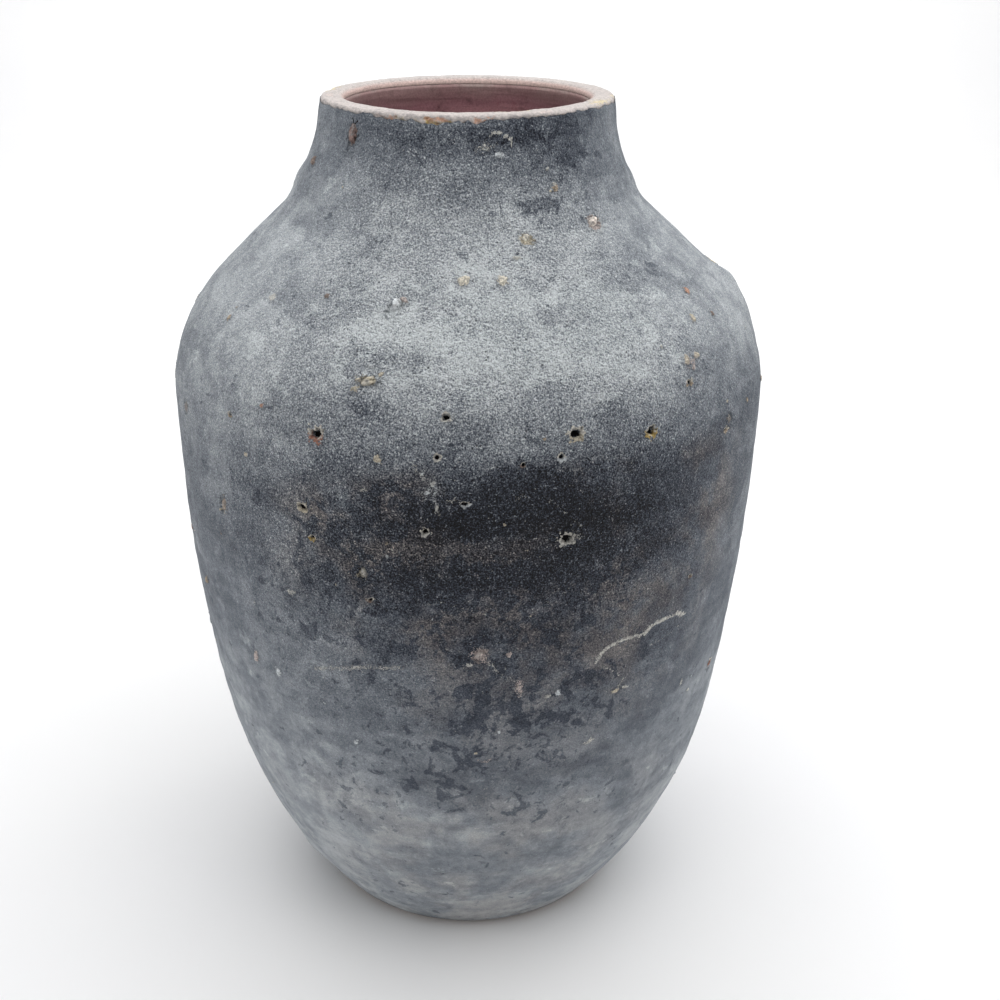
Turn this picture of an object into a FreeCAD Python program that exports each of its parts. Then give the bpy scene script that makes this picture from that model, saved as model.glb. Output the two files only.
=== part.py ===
# Black clay pot: a coil-built jar of luted wall sections, a black outer slip, a glazed inside and grit in the wall.
# Millimetres. The pot stands on z = 0 with its axis on +Z, and its front faces -Y.
import FreeCAD, Part
import os
import Sketcher
from FreeCAD import Vector

doc = FreeCAD.newDocument("ClayPot")

# ---------------------------------------------------------------- driving dimensions
SIZES = {
    "height": 330,
    # outside of the pot: heel, lower body, shoulder turn, straight slope, neck
    "heel_arc": 195,
    "heel_centre_height": 122.4,
    "lower_arc": 790,
    "belly_radius": 114,
    "belly_height": 221,
    "shoulder_arc": 63,
    "neck_radius": 54,
    "neck_arc": 57,
    # thicknesses, measured square to the wall
    "slip": 0.6,
    "wall": 8,
    "glaze": 0.5,
    "floor": 12,
    "floor_corner": 15,
    # the mouth: a straight throat below a rounded lip
    "throat_radius": 44.5,
    "throat_height": 318,
    "throat_arc": 40,
    "lip_rounding": 2.5,
    # where the two skins start and stop
    "slip_bottom": 2,
    "skin_top": 327,
    # seams between the sections: height and radius half way through the wall, and bevel, positive climbing inwards
    "base_seam": 10,
    "base_seam_radius": 60,
    "base_bevel": 15,
    "lower_seam": 153,
    "lower_seam_radius": 106,
    "lower_bevel": 26,
    "belly_seam": 261,
    "belly_seam_radius": 94,
    "belly_bevel": -8,
    "shoulder_seam": 290,
    "shoulder_seam_radius": 65,
    "shoulder_bevel": -8,
    "neck_seam": 317,
    "neck_seam_radius": 50,
    "neck_bevel": 20,
    # the seams are cut by slabs that reach outside the pot
    "slab_radius": 125,
    "slab_bottom": -40,
    "slab_top": 370,
    # clearance round each stone in its socket
    "socket_gap": 0.15,
}

sheet = doc.addObject("Spreadsheet::Sheet", "Sizes")
for row, (name, value) in enumerate(SIZES.items(), start=1):
    sheet.set(f"A{row}", name)
    sheet.set(f"B{row}", str(value))
    sheet.setAlias(f"B{row}", name)

# Stones in the wall: bearing to the right of the front and height of the centre, its distance from the axis,
# then half-length and half-width, and the lean of the long side from upright.
STONE_COLUMNS = ("bearing", "level", "reach", "half_length", "half_width", "lean")
STONES = (
    (-46, 322, 54.0, 4.4, 2.2, 4),
    (41, 295, 65.4, 2.8, 2.1, 60),
    (17, 293, 67.6, 2.2, 1.8, 0),
    (-16, 275, 85.0, 2.8, 2.0, 20),
    (-18, 255, 103.2, 3.2, 1.8, 65),
    (-64, 228, 112.4, 2.8, 1.9, 10),
    (-50, 200, 112.6, 3.5, 1.7, 15),
    (-18, 191, 112.4, 2.1, 1.7, 0),
    (54, 230, 112.1, 2.0, 1.6, 0),
    (2, 162, 110.8, 2.3, 1.7, 40),
    (128, 250, 106.0, 2.9, 1.9, 75),
    (171, 188, 112.4, 2.5, 2.0, 0),
    (-142, 118, 105.9, 3.3, 1.8, 30),
    (-108, 276, 83.8, 2.2, 1.8, 50),
)

stone_table = doc.addObject("Spreadsheet::Sheet", "Stones")
for number, stone in enumerate(STONES, start=1):
    for letter, column, value in zip("ABCDEF", STONE_COLUMNS, stone):
        stone_table.set(f"{letter}{number}", str(value))
        stone_table.setAlias(f"{letter}{number}", f"{column}_{number}")
doc.recompute()


# ---------------------------------------------------------------- sketch helpers
START, END, CENTRE = 1, 2, 3
GROUND, AXIS = -1, -2
BAR_SIDES, END_SIDES = 8, 7


class Outline:
    """A sketch on the XZ plane of its own body, revolved about Z once its lines are constrained."""

    def __init__(self, label):
        self.body = doc.addObject("PartDesign::Body", label)
        plane = next(item for item in self.body.Origin.OriginFeatures if item.Role == "XZ_Plane")
        self.sketch = self.body.newObject("Sketcher::SketchObject", f"{label}_outline")
        self.sketch.AttachmentSupport = [(plane, "")]
        self.sketch.MapMode = "FlatFace"

    def line(self, start, end):
        return self.sketch.addGeometry(Part.LineSegment(Vector(*start), Vector(*end)))

    def arc(self, start, middle, end):
        """An arc through three rough points, counter-clockwise; its constraints give the exact one."""
        return self.sketch.addGeometry(Part.Arc(Vector(*start), Vector(*middle), Vector(*end)))

    def fix(self, *rule):
        self.sketch.addConstraint(Sketcher.Constraint(*rule))

    def drive(self, name, formula, *rule):
        """A dimension of the sketch, named and bound to the sheet; rule ends with a rough value."""
        self.sketch.addConstraint(Sketcher.Constraint(*rule))
        self.sketch.renameConstraint(self.sketch.ConstraintCount - 1, name)
        self.sketch.setExpression(f"Constraints.{name}", formula)

    def revolve(self):
        doc.recompute()
        turn = self.body.newObject("PartDesign::Revolution", f"{self.body.Label}_turn")
        turn.Profile = self.sketch
        turn.ReferenceAxis = (self.sketch, ["V_Axis"])
        turn.Angle = 360
        doc.recompute()
        return turn


def turned_jar(label, inset, floor=None, hollow=False):
    """The solid inside one surface of the wall, inset from the outside of the pot; inset and floor are formulas.

    The outside stands on the ground and ends in a rounded lip. A hollow starts at its floor, and has its own
    neck arc, a straight throat and a flared lip."""
    jar = Outline(label)
    heel = jar.arc((60, 5), (88, 45), (102, 90))
    lower = jar.arc((102, 90), (110, 150), (113, 221))
    shoulder = jar.arc((113, 221), (109, 246), (94, 266))
    slope = jar.line((94, 266), (71, 289))
    roof = jar.line((50, 330), (0, 330))
    axis = jar.line((0, 330), (0, 5))
    ground = jar.line((0, 5), (60, 5))

    jar.drive("lower_r", f"Sizes.lower_arc - ({inset})", "Radius", lower, 790)
    jar.drive("lower_x", "Sizes.lower_arc - Sizes.belly_radius", "DistanceX", lower, CENTRE, -1, START, 676)
    jar.drive("lower_z", "Sizes.belly_height", "DistanceY", -1, START, lower, CENTRE, 221)
    jar.drive("shoulder_r", f"Sizes.shoulder_arc - ({inset})", "Radius", shoulder, 63)
    jar.drive("shoulder_z", "Sizes.belly_height", "DistanceY", -1, START, shoulder, CENTRE, 221)
    jar.fix("Tangent", lower, END, shoulder, START)
    jar.drive("heel_r", f"Sizes.heel_arc - ({inset})", "Radius", heel, 195)
    jar.drive("heel_z", "Sizes.heel_centre_height", "DistanceY", -1, START, heel, CENTRE, 122)
    jar.fix("Tangent", heel, END, lower, START)
    jar.fix("Tangent", shoulder, END, slope, START)

    if hollow:
        neck = jar.arc((45, 318), (48, 304), (57, 290))
        throat = jar.line((45, 318), (45, 327))
        lip = jar.arc((48, 330), (46, 329), (45, 327))
        neck_size = f"Sizes.throat_arc + ({inset}) - Sizes.slip - Sizes.wall"
        neck_centre = "Sizes.throat_radius + Sizes.glaze + Sizes.throat_arc"
        neck_height = "Sizes.throat_height"
        jar.fix("Tangent", neck, START, throat, START)
        jar.fix("Vertical", throat)
        jar.fix("Tangent", throat, END, lip, END)
        jar.fix("Tangent", lip, START, roof, START)
        jar.drive("ground_z", floor, "DistanceY", -1, START, ground, START, 12)
    else:
        neck = jar.arc((54, 327), (58, 306), (71, 289))
        lip = jar.arc((54, 327), (53, 329), (51, 330))
        neck_size = f"Sizes.neck_arc + ({inset})"
        neck_centre = "Sizes.neck_radius + Sizes.neck_arc"
        neck_height = "Sizes.height"
        jar.fix("Tangent", neck, START, lip, START)
        jar.fix("Tangent", lip, END, roof, START)
        jar.fix("PointOnObject", ground, START, GROUND)
    jar.drive("neck_r", neck_size, "Radius", neck, 57)
    jar.drive("neck_x", neck_centre, "DistanceX", -1, START, neck, CENTRE, 100)
    jar.drive("neck_z", neck_height, "DistanceY", -1, START, neck, CENTRE, 325)
    jar.fix("Tangent", slope, END, neck, END)
    jar.drive("lip_r", "Sizes.lip_rounding", "Radius", lip, 2.5)

    jar.fix("Horizontal", roof)
    jar.fix("PointOnObject", roof, END, AXIS)
    jar.drive("roof_z", "Sizes.height", "DistanceY", -1, START, roof, END, 330)
    jar.fix("Coincident", roof, END, axis, START)
    jar.fix("PointOnObject", axis, END, AXIS)
    jar.fix("Coincident", axis, END, ground, START)
    jar.fix("Horizontal", ground)
    jar.fix("Coincident", ground, END, heel, START)
    return jar.revolve()


def solid_jar(label, inset):
    turned_jar(label, inset)
    return doc.getObject(label)


def hollow_jar(label, inset, floor, corner):
    """A hollow of the pot, with the corner where its floor meets the wall rounded by a finger."""
    turn = turned_jar(label, inset, floor, hollow=True)
    body = doc.getObject(label)
    lowest = min(edge.BoundBox.ZMax for edge in turn.Shape.Edges)
    rims = [f"Edge{number}" for number, edge in enumerate(turn.Shape.Edges, start=1)
            if abs(edge.BoundBox.ZMax - lowest) < 0.01 and edge.Curve.TypeId == "Part::GeomCircle"]
    corner_round = body.newObject("PartDesign::Fillet", f"{label}_corner")
    corner_round.Base = (turn, rims)
    corner_round.setExpression("Radius", corner)
    doc.recompute()
    return body


def seam(name):
    """Formulas for the heights at which a seam's cone meets the axis and the rim of the slabs."""
    height, radius, slope = f"Sizes.{name}_seam", f"Sizes.{name}_seam_radius", f"tan(Sizes.{name}_bevel)"
    return f"{height} + {radius} * {slope}", f"{height} + ({radius} - Sizes.slab_radius) * {slope}"


def level(formula):
    """The same pair for a flat cut."""
    return formula, formula


def slab(label, lower, upper):
    """A turned slab between two seams or flat cuts, wider than the pot."""
    plate = Outline(label)
    corners = [(0, 0), (125, 0), (125, 50), (0, 50)]
    sides = [plate.line(corners[side], corners[(side + 1) % 4]) for side in range(4)]
    heights = (lower[0], lower[1], upper[1], upper[0])
    for side, formula in enumerate(heights):
        plate.fix("Coincident", sides[side], END, sides[(side + 1) % 4], START)
        plate.drive(f"corner_{side + 1}", formula, "DistanceY", -1, START, sides[side], START, corners[side][1])
    for side, edge in ((0, START), (3, START)):
        plate.fix("PointOnObject", sides[side], edge, AXIS)
    plate.fix("Vertical", sides[1])
    plate.drive("rim", "Sizes.slab_radius", "DistanceX", -1, START, sides[1], START, 125)
    plate.revolve()
    return plate.body


def combine(kind, label, base, tool):
    result = doc.addObject(f"Part::{kind}", label)
    result.Base = base
    result.Tool = tool
    return result


def prism(label, sides, radius, length):
    bar = doc.addObject("Part::Prism", label)
    bar.Polygon = sides
    bar.setExpression("Circumradius", radius)
    bar.setExpression("Height", length)
    return bar


def stone(number, gap, label):
    """An angular stone, or its socket when gap is the clearance: a bar along its length with its ends cut to points."""
    cell = {column: f"Stones.{column}_{number}" for column in STONE_COLUMNS}
    length, width = f"({cell['half_length']} + {gap})", f"({cell['half_width']} + {gap})"
    bar = prism(f"{label}_bar", BAR_SIDES, width, f"2 * {length}")
    bar.setExpression("Placement.Base.z", f"-{length}")
    slab_across = prism(f"{label}_ends", END_SIDES, length, f"2 * {width}")
    slab_across.Placement.Rotation = FreeCAD.Rotation(Vector(1, 0, 0), 90)
    slab_across.setExpression("Placement.Base.y", width)
    pebble = combine("Common", label, bar, slab_across)
    facing = FreeCAD.Rotation(Vector(0, 0, 1), STONES[number - 1][0])
    pebble.Placement.Rotation = facing * FreeCAD.Rotation(Vector(0, 1, 0), STONES[number - 1][-1])
    pebble.setExpression("Placement.Base.x", f"{cell['reach']} * sin({cell['bearing']})")
    pebble.setExpression("Placement.Base.y", f"-{cell['reach']} * cos({cell['bearing']})")
    pebble.setExpression("Placement.Base.z", cell["level"])
    return pebble


def group(label, pieces):
    bundle = doc.addObject("Part::Compound", label)
    bundle.Links = pieces
    return bundle


def write_step(node):
    """Check a finished sub-part and write it to its own file."""
    if node.Shape.isNull() or not node.Shape.isValid() or not node.Shape.Solids:
        raise RuntimeError(f"{node.Label} has no sound solid")
    node.Shape.exportStep(f"parts/{node.Label}.step")
    print(f"{node.Label}: {len(node.Shape.Solids)} solid(s), {node.Shape.Volume / 1000:.1f} cm3")


# ---------------------------------------------------------------- the pot
outer_surface = solid_jar("outer_surface", "0")
clay_surface = solid_jar("clay_surface", "Sizes.slip")
clay_hollow = hollow_jar("clay_hollow", "Sizes.slip + Sizes.wall", "Sizes.floor", "Sizes.floor_corner")
open_hollow = hollow_jar("open_hollow", "Sizes.slip + Sizes.wall + Sizes.glaze", "Sizes.floor + Sizes.glaze",
                         "Sizes.floor_corner - Sizes.glaze")

# The clay wall, with a socket for every stone
numbers = range(1, len(STONES) + 1)
sockets = group("sockets", [stone(number, "Sizes.socket_gap", f"socket_{number}") for number in numbers])
clay = combine("Cut", "clay", clay_surface, clay_hollow)
socketed_clay = combine("Cut", "socketed_clay", clay, sockets)

# The wall sections, from the pad up to the lip, each between two seams
SEAMS = [level("Sizes.slab_bottom"), seam("base"), seam("lower"), seam("belly"), seam("shoulder"), seam("neck"),
         level("Sizes.slab_top")]
SECTIONS = ("base_pad", "lower_wall", "belly_wall", "shoulder_wall", "neck_collar", "lip_ring")
nodes = []
for section, lower, upper in zip(SECTIONS, SEAMS, SEAMS[1:]):
    nodes.append(combine("Common", section, socketed_clay, slab(f"{section}_slab", lower, upper)))

# The two skins: slip outside, short of the foot and the lip's edge, and glaze inside, over the floor
slip_shell = combine("Cut", "slip_shell", outer_surface, clay_surface)
slip_slab = slab("slip_slab", level("Sizes.slip_bottom"), level("Sizes.skin_top"))
slip_coat = combine("Common", "slip_coat", slip_shell, slip_slab)
nodes.append(combine("Cut", "outer_slip_coat", slip_coat, sockets))

glaze_shell = combine("Cut", "glaze_shell", clay_hollow, open_hollow)
glaze_slab = slab("glaze_slab", level("Sizes.slab_bottom"), level("Sizes.skin_top"))
nodes.append(combine("Common", "inner_glaze_lining", glaze_shell, glaze_slab))

nodes.append(group("grit_stones", [stone(number, "0", f"stone_{number}") for number in numbers]))
doc.recompute()

# ---------------------------------------------------------------- checks and files
for item in doc.Objects:
    if {"Invalid", "Error"} & set(item.State):
        raise RuntimeError(f"{item.Label} did not rebuild: {item.State}")
os.makedirs("parts", exist_ok=True)
for node in nodes:
    write_step(node)
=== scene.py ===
import functools
import itertools

import bmesh
import bpy
import numpy as np
from mathutils import Euler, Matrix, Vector


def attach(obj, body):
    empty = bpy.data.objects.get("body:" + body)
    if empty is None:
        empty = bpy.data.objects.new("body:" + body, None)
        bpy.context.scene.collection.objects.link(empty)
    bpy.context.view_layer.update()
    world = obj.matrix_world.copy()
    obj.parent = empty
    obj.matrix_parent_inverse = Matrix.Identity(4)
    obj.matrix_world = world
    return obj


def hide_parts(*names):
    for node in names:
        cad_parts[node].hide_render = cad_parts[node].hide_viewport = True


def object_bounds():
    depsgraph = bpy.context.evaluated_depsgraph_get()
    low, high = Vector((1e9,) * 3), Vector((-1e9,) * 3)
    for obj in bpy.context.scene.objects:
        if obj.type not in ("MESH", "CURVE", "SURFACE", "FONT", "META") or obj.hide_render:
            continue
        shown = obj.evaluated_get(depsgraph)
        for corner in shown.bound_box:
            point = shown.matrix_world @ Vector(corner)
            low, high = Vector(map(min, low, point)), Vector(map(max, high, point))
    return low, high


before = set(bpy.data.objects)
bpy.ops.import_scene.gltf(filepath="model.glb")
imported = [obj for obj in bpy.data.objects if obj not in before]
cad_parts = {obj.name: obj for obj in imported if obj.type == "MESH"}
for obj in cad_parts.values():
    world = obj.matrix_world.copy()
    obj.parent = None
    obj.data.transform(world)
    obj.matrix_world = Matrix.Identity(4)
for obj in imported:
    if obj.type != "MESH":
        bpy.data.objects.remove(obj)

cad_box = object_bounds()
MM = 0.001

# ---------------------------------------------------------------- the pot's outline, in millimetres
# Arcs of the outside, as in the CAD part: (radius of the centre, height of the centre, radius of the arc).
HEIGHT = 330.0
BELLY_RADIUS, BELLY_HEIGHT = 114.0, 221.0
LIP_RADIUS, THROAT_RADIUS = 54.0, 45.0
LOWER_ARC, SHOULDER_ARC, NECK_ARC, THROAT_ARC = 790.0, 63.0, 57.0, 40.0
HEEL_ARC, HEEL_HEIGHT = 195.0, 122.4
LOWER = (BELLY_RADIUS - LOWER_ARC, BELLY_HEIGHT, LOWER_ARC)
HEEL_REACH = round(((LOWER_ARC - HEEL_ARC) ** 2 - (BELLY_HEIGHT - HEEL_HEIGHT) ** 2) ** 0.5, 3)
HEEL = (LOWER[0] + HEEL_REACH, HEEL_HEIGHT, HEEL_ARC)
SHOULDER = (BELLY_RADIUS - SHOULDER_ARC, BELLY_HEIGHT, SHOULDER_ARC)
NECK = (LIP_RADIUS + NECK_ARC, HEIGHT, NECK_ARC)
THROAT = (THROAT_RADIUS + THROAT_ARC, 318.0, THROAT_ARC)
SLIP, WALL, GLAZE, FLOOR, FLOOR_CORNER = 0.6, 8.0, 0.5, 12.0, 15.0
CLAY_INSIDE = SLIP + WALL
ARC_POINTS, OUTLINE_POINTS = 200, 3000
# The hair's breadth kept between pieces that touch.
CLEARANCE = 0.1


def arc(circle, inset, low, high):
    """Points of an arc of the outline between two heights, moved inwards by inset."""
    side = -1 if circle in (NECK, THROAT) else 1
    height = np.linspace(low, high, ARC_POINTS)
    reach = np.sqrt(np.maximum((circle[2] - side * inset) ** 2 - (height - circle[1]) ** 2, 0))
    return np.column_stack((circle[0] + side * reach, height))


def spaced(path, count):
    """The path (radius, height) with count points evenly spaced along it."""
    length = np.concatenate(([0], np.cumsum(np.hypot(*np.diff(path, axis=0).T))))
    even = np.linspace(0, length[-1], count)
    return np.column_stack([np.interp(even, length, column) for column in path.T])


def outline(inset, hollow=False):
    """One surface of the wall from its foot or floor up to the lip; a hollow one has its own neck."""
    neck, neck_inset = (THROAT, inset - CLAY_INSIDE) if hollow else (NECK, inset)
    across, up = neck[0] - SHOULDER[0], neck[1] - SHOULDER[1]
    touch = SHOULDER[2] + neck[2] - (CLAY_INSIDE if hollow else 0)
    slope = np.arctan2(up, across) - np.arccos(touch / np.hypot(across, up))
    heel_top = HEEL[1] - (HEEL[2] - inset) * (BELLY_HEIGHT - HEEL[1]) / (LOWER[2] - HEEL[2])
    turn_top = BELLY_HEIGHT + (SHOULDER[2] - inset) * np.sin(slope)
    neck_foot = neck[1] - (neck[2] + neck_inset) * np.sin(slope)
    low = FLOOR + inset - CLAY_INSIDE if hollow else 0
    path = [arc(HEEL, inset, low, heel_top), arc(LOWER, inset, heel_top, BELLY_HEIGHT)[1:],
            arc(SHOULDER, inset, BELLY_HEIGHT, turn_top)[1:], arc(neck, neck_inset, neck_foot, neck[1])]
    if hollow:
        path.append(path[-1][-1:] * (1, 0) + (0, HEIGHT))
    return spaced(np.concatenate(path), OUTLINE_POINTS)


def between(path, low, high, count):
    """The part of an outline between two heights."""
    inside = path[(path[:, 1] > low) & (path[:, 1] < high)]
    ends = [[np.interp(level, path[:, 1], path[:, 0]), level] for level in (low, high)]
    return spaced(np.concatenate((ends[:1], inside, ends[1:])), count)


# ---------------------------------------------------------------- noise and small tools
def lattice_noise(points, cell, seed):
    """Smooth noise from -1 to 1 at points (n, 3), with lumps about a cell across."""
    turned = points @ TURN / cell + seed * 17.31
    corner = np.floor(turned).astype(np.int64)
    part = turned - corner
    part = part**3 * (part * (part * 6 - 15) + 10)
    total = np.zeros(len(points))
    for step in itertools.product((0, 1), repeat=3):
        spot = corner + step
        mixed = spot[:, 0] * 73856093 ^ spot[:, 1] * 19349663 ^ spot[:, 2] * 83492791 ^ seed * 2654435761
        mixed = ((mixed ^ (mixed >> 15)) * 2246822519) & 0xFFFFFFFF
        mixed = ((mixed ^ (mixed >> 13)) * 3266489917) & 0xFFFFFFFF
        value = (mixed >> 8) / 8388608.0 - 1
        total += value * np.prod(np.where(step, part, 1 - part), axis=1)
    return total


TURN = np.array(Euler((0.61, 0.83, 0.37)).to_matrix())


def layered_noise(points, cell, layers, seed, gain=0.5):
    """Several sizes of noise added together, each half the size of the last."""
    total, strength, sum_strength = 0, 1.0, 0
    for layer in range(layers):
        total = total + strength * lattice_noise(points, cell / 2**layer, seed + layer)
        sum_strength += strength
        strength *= gain
    return total / sum_strength


def smooth(value, low, high):
    """0 below low, 1 above high, eased between; high may be the smaller."""
    part = np.clip((value - low) / (high - low), 0, 1)
    return part * part * (3 - 2 * part)


def bell(value, middle, width):
    """1 at the middle, falling away on both sides."""
    return np.exp(-(((value - middle) / width) ** 2))


def radius_of(points):
    """Distance of each point from the pot's axis."""
    return np.hypot(points[:, 0], points[:, 1])


def turn_of(points):
    """Bearing of each point in radians."""
    return np.arctan2(points[:, 0], -points[:, 1])


def around(bearing, radius, height):
    """Points at bearings in degrees to the right of the front."""
    turn = np.radians(bearing)
    return np.column_stack((radius * np.sin(turn), -radius * np.cos(turn), height + 0 * turn))


def section_normals(path, closed):
    """Unit normals (radial, up) of a path, which point outwards where it goes up the outside."""
    if closed:
        along = np.roll(path, -1, axis=0) - np.roll(path, 1, axis=0)
    else:
        along = np.gradient(path, axis=0)
    normal = np.column_stack((along[:, 1], -along[:, 0]))
    return normal / np.maximum(np.hypot(*normal.T), 1e-9)[:, None]


def lean_at(height):
    """How far the pot's middle has wandered to the right and to the back at a height."""
    right = 0.7 * bell(height, 40, 50) - 0.8 * bell(height, 296, 22)
    return right, 0.5 * np.sin(height / 31) * smooth(height, 4, 40)


def handmade(points):
    """The pot's lean and wander, and its mouth pressed back at the front, the same for every piece."""
    height = points[:, 2]
    lean, side = lean_at(height)
    turn = turn_of(points)
    oval = 1 + 0.0035 * np.cos(2 * turn - 0.8) * smooth(height, 240, 300)
    waver = 1 + 0.0022 * np.sin(3 * turn + height / 24) * smooth(height, 8, 60)
    waist = bell(height, 292, 10) - 0.3 * bell(height, 312, 12)
    waver *= 1 - waist / np.maximum(radius_of(points), 10)
    inner = smooth(radius_of(points), 50, 46)
    front = smooth(np.cos(turn), -0.3, 0.8)
    pressed = (2.8 + 2.6 * inner * np.sin(turn) ** 2) * smooth(height, 298, 328) * front
    moved = points.copy()
    moved[:, 0] = points[:, 0] * oval * waver + lean
    moved[:, 1] = points[:, 1] * (2 - oval) * waver + side + pressed
    return moved


def inside_box(points):
    """Pull in whatever would pass the design's own box, so that the size stays the design's."""
    margin, easing = 0.15, 1.2
    free = (cad_box[1][0] / MM) - margin - easing
    reach = radius_of(points)
    shrink = np.where(reach > free, (free + easing * np.tanh((reach - free) / easing)) / reach, 1)
    moved = points.copy()
    moved[:, :2] *= shrink[:, None]
    moved[:, 2] = np.clip(moved[:, 2], 0, HEIGHT)
    return moved


def new_object(name, points, faces):
    """A smooth-shaded mesh object from points in millimetres."""
    mesh = bpy.data.meshes.new(name)
    mesh.from_pydata((points * MM).tolist(), [], faces)
    mesh.validate()
    mesh.polygons.foreach_set("use_smooth", np.ones(len(mesh.polygons), bool))
    mesh.update()
    piece = bpy.data.objects.new(name, mesh)
    bpy.context.scene.collection.objects.link(piece)
    return piece


def grid_faces(rows, columns, close_rows=True):
    """Outward quads of a grid that closes round its columns, and round its rows too unless told not to."""
    last = rows if close_rows else rows - 1
    row, column = np.meshgrid(np.arange(last), np.arange(columns), indexing="ij")
    next_row, next_column = (row + 1) % rows, (column + 1) % columns
    quads = np.stack((row * columns + column, row * columns + next_column,
                      next_row * columns + next_column, next_row * columns + column), axis=-1)
    return quads.reshape(-1, 4).tolist()


def lathe(loop, columns, pole=False):
    """Points and faces of a turned piece. A loop with poles starts and ends on the axis."""
    bearings = np.arange(columns) * 360 / columns - 180
    body = loop[1:-1] if pole else loop
    row, column = np.meshgrid(np.arange(len(body)), np.arange(columns), indexing="ij")
    row, column = row.ravel(), column.ravel()
    points = around(bearings[column], body[row, 0], body[row, 1])
    faces = grid_faces(len(body), columns, not pole)
    if pole:
        first, last = len(points), len(points) + 1
        points = np.concatenate((points, [[0, 0, loop[0, 1]], [0, 0, loop[-1, 1]]]))
        top = (len(body) - 1) * columns
        for number in range(columns):
            after = (number + 1) % columns
            faces.append((first, after, number))
            faces.append((last, top + number, top + after))
    return points, faces


def ring_places(rows, columns):
    """The row and the bearing of every point of a turned piece."""
    return np.repeat(np.arange(rows), columns), np.tile(np.arange(columns) * 360 / columns - 180, rows)


def point_value(piece, name, values):
    """Store a number at each point, for a material to read."""
    column = piece.data.attributes.new(name, "FLOAT", "POINT").data
    column.foreach_set("value", np.asarray(values, np.float32))


def point_colour(piece, name, colours):
    """Store a colour at each point, for a material to read."""
    full = np.column_stack((colours, np.ones(len(colours)))).astype(np.float32)
    piece.data.attributes.new(name, "FLOAT_COLOR", "POINT").data.foreach_set("color", full.ravel())


# ---------------------------------------------------------------- marks on the outside
LIME, WHITE, CREAM = (0.57, 0.56, 0.52), (0.58, 0.61, 0.63), (0.56, 0.50, 0.39)
TAN, OCHRE, BRICK = (0.42, 0.34, 0.25), (0.50, 0.36, 0.12), (0.36, 0.17, 0.12)
BROWN, PINK, ORANGE = (0.24, 0.18, 0.15), (0.54, 0.46, 0.43), (0.52, 0.30, 0.21)
# The last colour is the pale lime rim of the craters, with a painted highlight in it.
STRAW, SHELL, RIM_LIME_AND_HIGHLIGHT = (0.60, 0.51, 0.30), (0.80, 0.74, 0.62), (0.62, 0.59, 0.53)

# Bearings are in degrees to the right of the front, and other sizes in millimetres.
# Pits where lime has blown out: bearing, height, radius, depth, colour of the broken edge.
PITS = [
    (-26, 236.8, 2.2, 2.1, BRICK), (18.2, 238.9, 2.3, 2.2, CREAM), (32.5, 235.5, 1.9, 2.1, OCHRE),
    (16.6, 203.1, 2.3, 2.2, LIME), (-7, 207.6, 1.2, 1.6, LIME), (-27.3, 199.9, 1.2, 1.2, OCHRE),
    (-0.5, 218, 1.2, 1, WHITE), (15.4, 232.2, 1.2, 1.2, WHITE), (-5, 233.3, 1.2, 0.8, LIME),
    (-3.6, 245.6, 1.3, 1.9, LIME), (-28.9, 210.3, 1.5, 1.2, CREAM), (43.6, 246.7, 1.2, 1.2, TAN),
    (-16.9, 180.1, 1, 1.6, BROWN), (45, 174.2, 0.9, 1.4, BROWN), (61.2, 122.3, 1.3, 1, BRICK),
    (-46, 235, 0.8, 0.9, TAN), (52.3, 226.1, 1.3, 1, TAN), (9.1, 230.8, 0.8, 1, BROWN),
]
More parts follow.
